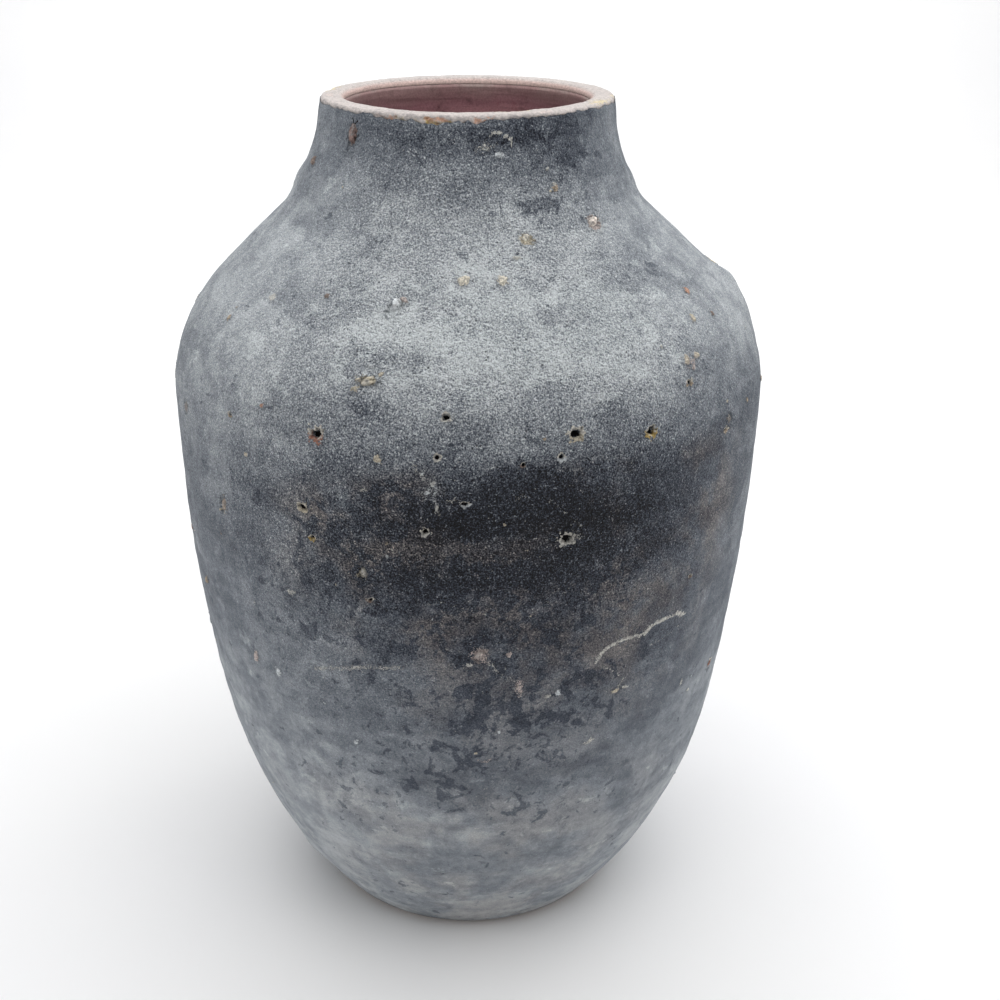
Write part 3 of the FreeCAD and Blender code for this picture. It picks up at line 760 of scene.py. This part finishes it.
def lip_ring():
    """The bare clay lip: a worn ring with chipped edges, up the outside, over the top and down the throat."""
    outer = between(OUTSIDE, LIP_LOW, HEIGHT - 1.5, 44)
    outer -= section_normals(outer, closed=False) * (backing(outer[:, 1]) + 0.05)[:, None]
    inner_radius = THROAT_RADIUS + 0.05
    outer_round, inner_round, flush = 1.4, 2.6, 0.27
    top_outer = rounded_corner((outer[-1, 0] - outer_round, HEIGHT - 1.5), outer_round, 4, 84, 10)
    top_inner = rounded_corner((inner_radius - flush + inner_round, HEIGHT - 2.7), inner_round, 96, 180, 16)
    crown = spaced(np.concatenate((top_outer[-1:], top_inner[:1])), 26)[1:-1]
    throat = np.array([[inner_radius, LINING_TOP - 0.1], [inner_radius, 320.0]])
    low_height = LIP_LOW + 3
    low_end = np.array([[np.interp(low_height, *outline(CLAY_INSIDE, True).T[::-1]) + 0.05, low_height]])
    loop = np.concatenate((outer, top_outer, crown, top_inner, spaced(throat, 14), low_end))
    points, faces = lathe(loop, LIP_COLUMNS)
    normals = section_normals(loop, closed=True)
    row, bearing = ring_places(len(loop), LIP_COLUMNS)
    normal = around(bearing, normals[row, 0], normals[row, 1])
    height, radius = points[:, 2], radius_of(points)
    shown = smooth(height, 324.5, 327.5) * smooth(radius, 44.6, 46.0)
    rise = 0.16 * layered_noise(points, 5, 3, 51) + 0.07 * layered_noise(points, 0.9, 2, 57) - 0.14
    colour = np.tile(BARE_CLAY, (len(points), 1))
    colour += layered_noise(points, 9, 3, 61)[:, None] * np.array((0.05, 0.045, 0.04))
    freckles = smooth(layered_noise(points, 0.9, 2, 69), 0.15, 0.6) * 0.35
    dirt = smooth(layered_noise(points, 1.6, 3, 67), -0.1, 0.4) * smooth(radius, 51.8, 53.8) * 0.75
    colour = tinted(colour, DUST, np.maximum(dirt, freckles))
    colour = tinted(colour, LINING_EDGE, smooth(radius, 48.2, 44.9) * smooth(height, 330.0, 328.6))
    ragged = layered_noise(points, 1.1, 2, 73)
    crumbling = smooth(layered_noise(points, 0.8, 2, 79), -0.5, 0.3)
    for chip_bearing, chip_radius, chip_height, half_width, size, depth, chip_colour in CHIPS:
        centre = around(np.array([chip_bearing]), chip_radius, chip_height)[0]
        turn = np.radians(chip_bearing)
        along = (points - centre) @ np.array((np.cos(turn), np.sin(turn), 0))
        away = np.sqrt(np.maximum(((points - centre) ** 2).sum(axis=1) - along**2, 0))
        far = np.hypot(along / half_width, away / size) * (1.0 + 0.9 * ragged)
        rise -= depth * smooth(far, 1.05, 0.5)
        colour = tinted(colour, chip_colour, smooth(far, 1.25, 0.8) * (0.35 + 0.6 * crumbling))
    rise *= shown
    rise -= 0.5 * shown * smooth(layered_noise(points, 30, 2, 77), 0.1, 0.8) * smooth(height, 328.5, 330)
    piece = new_object("lip_clay", inside_box(handmade(points + normal * rise[:, None])), faces)
    point_colour(piece, "clay_colour", np.clip(colour, 0.01, 1))
    return piece


def hollow_path(inset, top):
    """The inside surface from the axis out over the floor, round its corner and up the wall."""
    wall = outline(inset, hollow=True)
    level, radius = FLOOR + inset - CLAY_INSIDE, FLOOR_CORNER - inset + CLAY_INSIDE
    centres = wall - section_normals(wall, closed=False) * radius
    found = np.argmin(np.abs(centres[:, 1] - level - radius))
    start = np.degrees(np.arctan2(*(wall[found] - centres[found])[::-1]))
    corner = rounded_corner(centres[found], radius, -90, start, 40)
    floor = np.column_stack((np.linspace(0, corner[0, 0], 60)[:-1], np.full(59, corner[0, 1])))
    return np.concatenate((floor, corner, between(wall, corner[-1, 1], top, 1500)[1:]))


# How far down the lining its colour changes, which the material reads as a depth from 0 to 1.
DEPTH_SHOWN = 60.0


def inner_lining():
    """The glazed inside, from its thin upper edge down the throat and over the floor."""
    top, feather = LINING_TOP, 0.30
    front = spaced(hollow_path(CLAY_INSIDE + GLAZE, top), 300)[::-1]
    front[:, 0] += feather * smooth(front[:, 1], top - 4, top)
    back = spaced(hollow_path(CLAY_INSIDE + CLEARANCE, top - 0.2), 90)
    loop = np.concatenate((back, front))
    points, faces = lathe(loop, LINING_COLUMNS, pole=True)
    normals = section_normals(loop, closed=False)[1:-1]
    row, bearing = ring_places(len(loop) - 2, LINING_COLUMNS)
    normal = around(bearing, normals[row, 0], normals[row, 1])
    is_front = row >= len(back) - 1
    body = points[:-2]
    rings = 0.28 * layered_noise(body * (0.3, 0.3, 2.4), 12, 3, 81)
    rings += 0.12 * layered_noise(body, 7, 3, 85) - 0.1
    edge = smooth(body[:, 2], top, top - 5) * smooth(radius_of(body), 0, 8)
    points[:-2] += normal * (rings * is_front * edge)[:, None]
    piece = new_object("glaze_skin", inside_box(handmade(points)), faces)
    point_value(piece, "depth", np.clip((HEIGHT - points[:, 2]) / DEPTH_SHOWN, 0, 1))
    return piece


# Seams between wall sections: height and radius half way through the wall, and bevel in degrees.
SEAMS = {"base": (10, 60, 15), "lower": (153, 106, 26), "belly": (261, 94, -8), "shoulder": (290, 65, -8),
         "neck": (317, 50, 20)}


def seam_crossing(path, seam):
    """Index of the point where an outline meets a seam."""
    height, radius, bevel = SEAMS[seam]
    line = height + (radius - path[:, 0]) * np.tan(np.radians(bevel))
    return int(np.argmin(np.hypot(path[:, 1] - line, 0.2 * (path[:, 0] - radius))))


def wall_section(name, lower, upper, seed):
    """One hidden clay section between two seams, scored across its seams so that the next one keys to it."""
    outer = outline(backing(np.zeros(1))[0] + CLEARANCE)
    inner = hollow_path(CLAY_INSIDE - CLEARANCE, HEIGHT)
    low_out, high_out = seam_crossing(outer, lower), seam_crossing(outer, upper)
    low_in, high_in = seam_crossing(inner, lower), seam_crossing(inner, upper)
    up = spaced(outer[low_out:high_out], 46)
    down = spaced(inner[low_in:high_in], 46)[::-1]
    seam_gap, score_depth = 0.12, 0.35
    top = spaced(np.array([up[-1], down[0]]), 12)[1:-1] - (0, seam_gap)
    foot = spaced(np.array([down[-1], up[0]]), 12)[1:-1] + (0, seam_gap)
    loop = np.concatenate((up, top, down, foot))
    points, faces = lathe(loop, SECTION_COLUMNS)
    row, _ = ring_places(len(loop), SECTION_COLUMNS)
    seam_rows = (row >= len(up)) & (row < len(up) + len(top)) | (row >= len(up) + len(top) + len(down))
    sign = np.where(row < len(up) + len(top), -1, 1)
    turn = turn_of(points)
    radius = radius_of(points)
    scores = np.abs(np.sin(turn * 70 + radius * 0.9)) * np.abs(np.sin(turn * 70 - radius * 0.9))
    points[:, 2] += sign * seam_rows * score_depth * smooth(scores, 0.25, 0.0)
    points[:, :2] *= (1 + 0.0012 * layered_noise(points, 9, 3, seed) * ~seam_rows - 0.0012)[:, None]
    piece = new_object(name, inside_box(handmade(points)), faces)
    paint_clay(piece, points, seed)
    return piece


def base_pad():
    """The floor disc: flat underneath with a rubbed rim and a faint spiral groove."""
    outer, inner = outline(SLIP + CLEARANCE), hollow_path(CLAY_INSIDE - CLEARANCE, HEIGHT)
    rim = outer[: seam_crossing(outer, "base")]
    floor_edge = inner[seam_crossing(inner, "base") - 1][None]
    foot = np.column_stack((np.linspace(0, rim[0, 0] - 1.2, 60), np.zeros(60)))
    rub = rounded_corner((rim[0, 0] - 1.3, 1.2), 1.2, -80, -10, 6)
    side = spaced(rim[rim[:, 1] > 1.3], 10)
    seam = spaced(np.array([side[-1], floor_edge[0]]), 10)[1:-1]
    floor = np.column_stack((np.linspace(floor_edge[-1, 0], 0, 12)[1:], np.full(11, FLOOR - CLEARANCE)))
    loop = np.concatenate((foot, rub, side, seam, floor_edge, floor))
    points, faces = lathe(loop, SECTION_COLUMNS, pole=True)
    radius = radius_of(points)
    bottom = points[:, 2] < 0.01
    spiral = np.sin(radius * 1.1 + np.arctan2(points[:, 0], points[:, 1]))
    marks = 0.22 + 0.2 * layered_noise(points, 7, 3, 93) + 0.16 * spiral
    points[:, 2] += np.where(bottom, marks * smooth(radius, 57, 50), 0)
    piece = new_object("base_clay", inside_box(handmade(points)), faces)
    paint_clay(piece, points, 97)
    return piece


def paint_clay(piece, points, seed):
    """Reddish fired clay, clouded with soot."""
    colour = np.tile(FIRED_CLAY, (len(points), 1))
    colour += layered_noise(points, 26, 4, seed)[:, None] * np.array((0.07, 0.05, 0.04))
    colour = tinted(colour, SOOT, smooth(layered_noise(points, 40, 3, seed + 7), 0.0, 0.5) * 0.5)
    point_colour(piece, "clay_colour", np.clip(colour, 0.01, 1))


def grit_stones():
    """Pebbles and lime crumbs in the design's places, rough and pitted, each a closed solid of one piece."""
    all_points, all_faces, all_colours = [], [], []
    ball = bmesh.new()
    bmesh.ops.create_icosphere(ball, subdivisions=5, radius=1)
    sphere = np.array([vertex.co[:] for vertex in ball.verts])
    triangles = np.array([[vertex.index for vertex in face.verts] for face in ball.faces])
    ball.free()
    count = 0
    for number, (centre, axes, shade) in enumerate(settled_stones()):
        lumps = 0.95 + 0.34 * layered_noise(sphere + number * 5, 0.8, 4, 101, 0.62)
        shaded_nicks = 0.18 * smooth(layered_noise(sphere + number * 3, 0.34, 2, 107), 0.0, 0.5)
        points = (sphere * np.minimum(lumps - shaded_nicks, 1.04)[:, None]) @ axes * 0.98 + centre
        all_points.append(points)
        all_faces.append(triangles + count)
        count += len(points)
        colour = np.tile(shade, (len(points), 1))
        colour *= 1 + 0.75 * layered_noise(points, 0.8, 3, 113, 0.7)[:, None]
        # The dents in each stone are painted darker, as painted shade in them.
        colour *= (1 - 2.8 * shaded_nicks)[:, None]
        dusty = smooth(layered_noise(points, 1.4, 3, 119), -0.1, 0.4) * 0.5
        all_colours.append(tinted(colour, STONE_DUST, dusty))
    points = inside_box(handmade(np.concatenate(all_points)))
    piece = new_object("grit_pebbles", points, np.concatenate(all_faces).tolist())
    point_colour(piece, "clay_colour", np.clip(np.concatenate(all_colours), 0.01, 1))
    return piece


# ---------------------------------------------------------------- materials
class Shader:
    """A small hand for building one material's nodes."""

    def __init__(self, name, roughness, specular=0.5):
        self.material = bpy.data.materials.new(name)
        self.material.use_nodes = True
        self.tree = self.material.node_tree
        self.surface = self.tree.nodes["Principled BSDF"]
        self.surface.inputs["Roughness"].default_value = roughness
        self.surface.inputs["Specular IOR Level"].default_value = specular
        self.place = self.add("ShaderNodeTexCoord").outputs["Object"]

    def add(self, kind, **settings):
        """A new node with its settings."""
        node = self.tree.nodes.new(kind)
        for key, value in settings.items():
            setattr(node, key, value)
        return node

    def link(self, source, target):
        """Feed a socket from another socket, or set it to a number or colour."""
        if isinstance(source, (int, float)):
            target.default_value = source
        elif isinstance(source, tuple):
            target.default_value = (*source, 1)
        else:
            self.tree.links.new(source, target)

    def noise(self, scale, detail=3.0, roughness=0.5, distortion=0.0, place=None):
        """Clouded noise about a middle of 0.5."""
        node = self.add("ShaderNodeTexNoise")
        self.link(place or self.place, node.inputs["Vector"])
        node.inputs["Scale"].default_value = scale
        node.inputs["Detail"].default_value = detail
        node.inputs["Roughness"].default_value = roughness
        node.inputs["Distortion"].default_value = distortion
        return node.outputs["Fac"]

    def cells(self, scale):
        """Distance to the nearest of many scattered points."""
        node = self.add("ShaderNodeTexVoronoi")
        self.link(self.place, node.inputs["Vector"])
        node.inputs["Scale"].default_value = scale
        return node.outputs["Distance"]

    def stretched(self, across, up):
        """Object places squeezed so that a noise read there is drawn out sideways."""
        node = self.add("ShaderNodeVectorMath", operation="MULTIPLY")
        self.link(self.place, node.inputs[0])
        node.inputs[1].default_value = (across, across, up)
        return node.outputs[0]

    def span(self, value, low, high, start=0.0, stop=1.0, ease=True):
        """The value mapped from low..high to start..stop, and held at the ends."""
        node = self.add("ShaderNodeMapRange", interpolation_type="SMOOTHSTEP" if ease else "LINEAR")
        self.link(value, node.inputs["Value"])
        for key, number in (("From Min", low), ("From Max", high), ("To Min", start), ("To Max", stop)):
            node.inputs[key].default_value = number
        return node.outputs["Result"]

    def sum(self, *values):
        """All the values added."""
        return functools.reduce(lambda total, value: self.math("ADD", total, value), values)

    def product(self, *values):
        """All the values multiplied."""
        return functools.reduce(lambda total, value: self.math("MULTIPLY", total, value), values)

    def math(self, operation, first, second):
        """One operation on two sockets or numbers."""
        node = self.add("ShaderNodeMath", operation=operation)
        self.link(first, node.inputs[0])
        self.link(second, node.inputs[1])
        return node.outputs[0]

    def attribute(self, name, output="Fac"):
        """A value or a colour stored at the points of the piece."""
        return self.add("ShaderNodeAttribute", attribute_name=name).outputs[output]

    def mix(self, amount, first, second, blend="MIX"):
        """Two colours mixed; the node's colour sockets are its inputs 6 and 7 and its output 2."""
        node = self.add("ShaderNodeMix", data_type="RGBA", blend_type=blend)
        self.link(amount, node.inputs["Factor"])
        self.link(first, node.inputs[6])
        self.link(second, node.inputs[7])
        return node.outputs[2]

    def ramp(self, value, stops):
        """A colour for each value, between stops of (value, colour)."""
        node = self.add("ShaderNodeValToRGB")
        self.link(value, node.inputs["Fac"])
        band = node.color_ramp
        while len(band.elements) < len(stops):
            band.elements.new(0.5)
        for element, (position, colour) in zip(band.elements, stops):
            element.position = position
            element.color = (*colour, 1)
        return node.outputs["Color"]

    def finish(self, colour, roughness=None, bumps=()):
        """Set colour and roughness, and chain bumps given as (height, distance in metres, strength)."""
        self.link(colour, self.surface.inputs["Base Color"])
        if roughness is not None:
            self.link(roughness, self.surface.inputs["Roughness"])
        normal = None
        for height, distance, strength in bumps:
            node = self.add("ShaderNodeBump")
            self.link(height, node.inputs["Height"])
            node.inputs["Distance"].default_value = distance
            node.inputs["Strength"].default_value = strength
            if normal is not None:
                self.link(normal, node.inputs["Normal"])
            normal = node.outputs["Normal"]
        if normal is not None:
            self.link(normal, self.surface.inputs["Normal"])
        return self.material


def slip_grey(tone):
    """The slip's colour at a lightness from 0 to 1: bluish where it is black, neutral where it is dust."""
    grey = ((tone + 0.055) / 1.055) ** 2.4
    return (grey * (1 - 0.40 * np.exp(-tone / 0.38)), grey * (1 - 0.25 * np.exp(-tone / 0.20)),
            grey * (1 + 0.75 * np.exp(-tone / 0.24)))


def slip_material():
    """Matte black slip, worn down to dusty grey: black left in ragged islands, pale crust, sandy grain."""
    shader = Shader("black_slip", 0.72, 0.22)
    grain, black, crust = (shader.attribute(name) for name in ("grain", "black", "crust"))
    wide = shader.sum(shader.noise(120, 9, 0.60, 0.5), shader.product(black, 0.26))
    small = shader.sum(shader.noise(300, 7, 0.58, 0.4), shader.product(black, 0.20))
    island = shader.math("MAXIMUM", shader.span(wide, 0.590, 0.640),
                         shader.product(shader.span(small, 0.605, 0.650), 0.75))
    crumbly = shader.noise(90, 9, 0.62, 0.3, shader.stretched(1.0, 1.6))
    pale = shader.span(shader.sum(crumbly, shader.product(crust, 0.30)), 0.56, 0.60)
    patchy = shader.span(shader.noise(46, 9, 0.64, 0.4), 0.44, 0.56, -0.038, 0.038)
    clouding = shader.span(shader.noise(210, 7, 0.66, 0.3), 0.32, 0.68, -0.05, 0.05, False)
    drawn_out = shader.noise(26, 6, 0.62, 0.0, shader.stretched(1.0, 5.0))
    streaks = shader.span(drawn_out, 0.3, 0.7, -0.045, 0.045, False)
    speckle = shader.span(shader.noise(1900, 2, 0.6), 0.28, 0.72, -0.5, 0.5, False)
    sand = shader.span(shader.cells(1150), 0.05, 0.7, 0.5, -0.5)
    sparkle = shader.span(shader.noise(1500, 1, 0.5), 0.60, 0.74)
    rough_patch = shader.span(shader.noise(70, 5, 0.6), 0.42, 0.58, 0.35, 1.0)
    coarse = shader.span(shader.noise(900, 3, 0.6), 0.28, 0.72, -0.5, 0.5, False)
    tone = shader.sum(shader.attribute("tone"), patchy, clouding, streaks, shader.product(pale, 0.085))
    cover = shader.product(island, shader.span(black, 0.0, 0.8, 0.26, 0.50, False))
    tone = shader.product(tone, shader.math("SUBTRACT", 1.0, cover))
    gritty = shader.product(grain, rough_patch)
    tone = shader.sum(tone, shader.product(speckle, grain, 0.56),
                      shader.product(sand, gritty, 0.05),
                      shader.product(coarse, grain, 0.14),
                      shader.product(sparkle, grain, 0.32))
    colour = shader.ramp(tone, [(stop, slip_grey(stop)) for stop in np.linspace(0, 0.84, 13).tolist()])
    warm = shader.product(shader.span(shader.noise(48, 5, 0.6), 0.40, 0.60), shader.attribute("warmth"),
                          shader.math("SUBTRACT", 1.0, island))
    colour = shader.mix(warm, colour, (1.20, 0.99, 0.84), "MULTIPLY")
    colour = shader.mix(shader.product(pale, 0.5), colour, (0.98, 1.0, 0.99), "MULTIPLY")
    specks = shader.product(shader.span(shader.cells(620), 0.18, 0.08),
                         shader.span(shader.noise(330, 2, 0.5), 0.56, 0.64))
    colour = shader.mix(shader.product(specks, 0.7), colour, (0.40, 0.40, 0.37))
    # Tiny pits in the grain, dented by the bump and painted near-black as painted shade.
    shaded_pinholes = shader.product(shader.span(shader.cells(480), 0.20, 0.11),
                           shader.product(grain, shader.span(shader.noise(160, 3, 0.5), 0.50, 0.60)))
    colour = shader.mix(shader.product(shaded_pinholes, 0.75), colour, (0.018, 0.019, 0.024))
    mark = shader.attribute("mark")
    crumbling = shader.sum(shader.noise(800, 4, 0.65), shader.noise(2300, 2, 0.6), mark)
    broken = shader.product(shader.span(crumbling, 1.34, 1.50), shader.span(mark, 0.02, 0.14))
    chalk = shader.span(shader.noise(1500, 2, 0.5), 0.32, 0.68, 0.5, 1.3, False)
    mark_colour = shader.mix(1.0, shader.attribute("mark_colour", "Color"), chalk, "MULTIPLY")
    colour = shader.mix(shader.product(broken, 0.9), colour, mark_colour)
    # Craters and crevices painted near-black with ragged edges, as painted shade.
    ragged = shader.span(shader.noise(1100, 3, 0.6), 0.3, 0.7, -0.3, 0.3, False)
    hole_shade = shader.sum(shader.attribute("hole_shade"), ragged)
    colour = shader.mix(shader.span(hole_shade, 0.42, 0.60), colour, (0.008, 0.007, 0.008))
    rough = shader.span(tone, 0.1, 0.6, 0.62, 0.85)
    height = shader.sum(shader.product(sand, gritty, 0.5),
                        shader.product(coarse, grain, 1.6),
                        shader.product(speckle, grain, 0.5),
                        shader.product(island, -0.20), shader.product(pale, 0.15),
                        shader.product(broken, 0.4),
                        shader.product(shaded_pinholes, -0.8))
    return shader.finish(colour, rough, [(height, 0.0007, 0.9)])


def clay_material(name, roughness, grain):
    """Bare fired clay in the colours painted on the piece, sandy and slightly pitted."""
    shader = Shader(name, roughness, 0.35)
    fine = shader.span(shader.noise(1300, 4, 0.65), 0.30, 0.70, 0.72, 1.25, False)
    colour = shader.mix(1.0, shader.attribute("clay_colour", "Color"), fine, "MULTIPLY")
    rough = shader.span(shader.noise(300, 4, 0.6), 0.3, 0.7, roughness - 0.08, roughness + 0.10)
    pits = shader.span(shader.cells(700), 0.0, 0.4)
    sand = shader.noise(500, 5, 0.65)
    return shader.finish(colour, rough, [(sand, 0.0005, grain), (pits, 0.0002, grain * 0.6)])


# Colours of the lining by depth below the lip, as a share of DEPTH_SHOWN.
GLAZE_BY_DEPTH = [
    (0.03, (0.36, 0.285, 0.262)), (0.07, (0.34, 0.215, 0.207)), (0.12, (0.32, 0.18, 0.183)),
    (0.18, (0.32, 0.155, 0.175)), (0.24, (0.42, 0.21, 0.228)), (0.32, (0.56, 0.30, 0.31)),
    (0.6, (0.26, 0.12, 0.12)), (1.0, (0.16, 0.08, 0.075)),
]


def lining_material():
    """Reddish brown glaze, thin and pinkish at the lip, with runs and fine ripples."""
    shader = Shader("brown_glaze", 0.32, 0.5)
    wander = shader.span(shader.noise(48, 5, 0.6), 0.3, 0.7, -0.5, 0.5, False)
    depth = shader.sum(shader.attribute("depth"), shader.product(wander, 0.075))
    colour = shader.ramp(depth, GLAZE_BY_DEPTH)
    blotch = shader.span(shader.noise(110, 6, 0.62, 0.3), 0.52, 0.72, 0.0, 0.55)
    colour = shader.mix(blotch, colour, (0.085, 0.045, 0.05))
    spots = shader.product(shader.span(shader.cells(95), 0.20, 0.12),
                        shader.span(shader.noise(60, 2, 0.5), 0.58, 0.64))
    colour = shader.mix(shader.product(spots, 0.8), colour, (0.03, 0.018, 0.02))
    speckle = shader.span(shader.noise(1500, 3, 0.6), 0.3, 0.7, 0.82, 1.18, False)
    colour = shader.mix(1.0, colour, speckle, "MULTIPLY")
    rough = shader.sum(shader.span(shader.noise(120, 4, 0.6), 0.3, 0.7, 0.24, 0.44),
                       shader.span(depth, 0.20, 0.04, 0, 0.5))
    ripples = shader.noise(60, 3, 0.5, 0.0, shader.stretched(0.5, 5.0))
    return shader.finish(colour, rough, [(ripples, 0.0012, 0.30), (shader.noise(700, 3, 0.6), 0.0003, 0.25)])


def floor_material():
    """Pale matte paper, slightly uneven."""
    shader = Shader("studio_paper", 0.9, 0.2)
    shade = shader.span(shader.noise(3, 3, 0.5), 0.3, 0.7, 0.0, 1.0)
    return shader.finish(shader.mix(shade, (0.84, 0.84, 0.85), (0.86, 0.86, 0.86)))


# ---------------------------------------------------------------- the pot
slip = slip_coat()
lip = lip_ring()
lining = inner_lining()
base = base_pad()
sections = {
    "lower_wall": wall_section("lower_clay", "base", "lower", 121),
    "belly_wall": wall_section("belly_clay", "lower", "belly", 131),
    "shoulder_wall": wall_section("shoulder_clay", "belly", "shoulder", 141),
    "neck_collar": wall_section("neck_clay", "shoulder", "neck", 151),
}
stones = grit_stones()

bare_clay = clay_material("bare_lip_clay", 0.72, 0.5)
body_clay = clay_material("clay_body", 0.82, 0.6)
finishes = [
    (slip, "outer_slip_coat", "black_slip", slip_material()),
    (lip, "lip_ring", "bare_lip", bare_clay),
    (lining, "inner_glaze_lining", "brown_glaze", lining_material()),
    (base, "base_pad", "clay_body", body_clay),
    (stones, "grit_stones", "grit", clay_material("grit", 0.6, 0.35)),
]
finishes += [(piece, node, "clay_body", body_clay) for node, piece in sections.items()]
for piece, node, slot, material in finishes:
    piece.data.materials.append(material)
    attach(piece, "root")
    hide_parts(node)


# ---------------------------------------------------------------- studio
def studio_floor():
    """A sheet of pale paper that turns up behind the pot."""
    width, front, back, bend, top = 3.0, -1.6, 1.5, 0.5, 2.2
    angle = np.linspace(0, np.pi / 2, 24)
    curve = np.column_stack((back + bend * np.sin(angle), bend - bend * np.cos(angle)))
    path = np.concatenate(([[front, 0]], curve, [[back + bend, top]]))
    edges = [np.column_stack((np.full(len(path), side * width), path)) for side in (-1, 1)]
    points = np.concatenate(edges) / MM
    faces = [(n, n + len(path), n + 1 + len(path), n + 1) for n in range(len(path) - 1)]
    sheet = new_object("studio_floor", points, faces)
    sheet.data.materials.append(floor_material())


def soft_light(name, place, target, size, power):
    """An oblong lamp of a size in metres and a power in watts, turned to its target."""
    lamp = bpy.data.lights.new(name, "AREA")
    lamp.shape = "RECTANGLE"
    lamp.size, lamp.size_y = size
    lamp.energy = power
    holder = bpy.data.objects.new(name, lamp)
    holder.location = place
    holder.rotation_euler = (Vector(target) - Vector(place)).to_track_quat("-Z", "Y").to_euler()
    bpy.context.scene.collection.objects.link(holder)


studio_floor()
soft_light("top_light", (0.15, -0.15, 1.2), (0.15, -0.15, 0), (1.5, 1.5), 18)
soft_light("left_light", (-0.95, -0.35, 0.22), (0, -0.02, 0.05), (0.8, 0.35), 2.6)
soft_light("right_light", (0.95, -0.3, 0.22), (0, 0, 0.05), (0.8, 0.35), 2.0)
soft_light("backdrop_light", (0, 0.75, 1.5), (0, 1.9, 0.7), (2.4, 0.6), 30)
world = bpy.data.worlds.new("studio")
world.use_nodes = True
world.node_tree.nodes["Background"].inputs["Color"].default_value = (1, 1, 1, 1)
world.node_tree.nodes["Background"].inputs["Strength"].default_value = 0.2
bpy.context.scene.world = world
bpy.context.scene.view_settings.view_transform = "Standard"

# The camera's place in metres, how far it looks down in degrees, and its lens in millimetres.
CAMERA_PLACE, LOOKS_DOWN, FOCAL_LENGTH, SENSOR = (0, -0.504, 0.3985), 24.62, 48.33, 36
camera = bpy.data.cameras.new("camera")
camera.sensor_width = SENSOR
camera.lens = FOCAL_LENGTH
camera.shift_x = 0.0322
eye = bpy.data.objects.new("camera", camera)
eye.location = CAMERA_PLACE
eye.rotation_euler = Euler((np.radians(90 - LOOKS_DOWN), 0, 0))
bpy.context.scene.collection.objects.link(eye)
bpy.context.scene.camera = eye
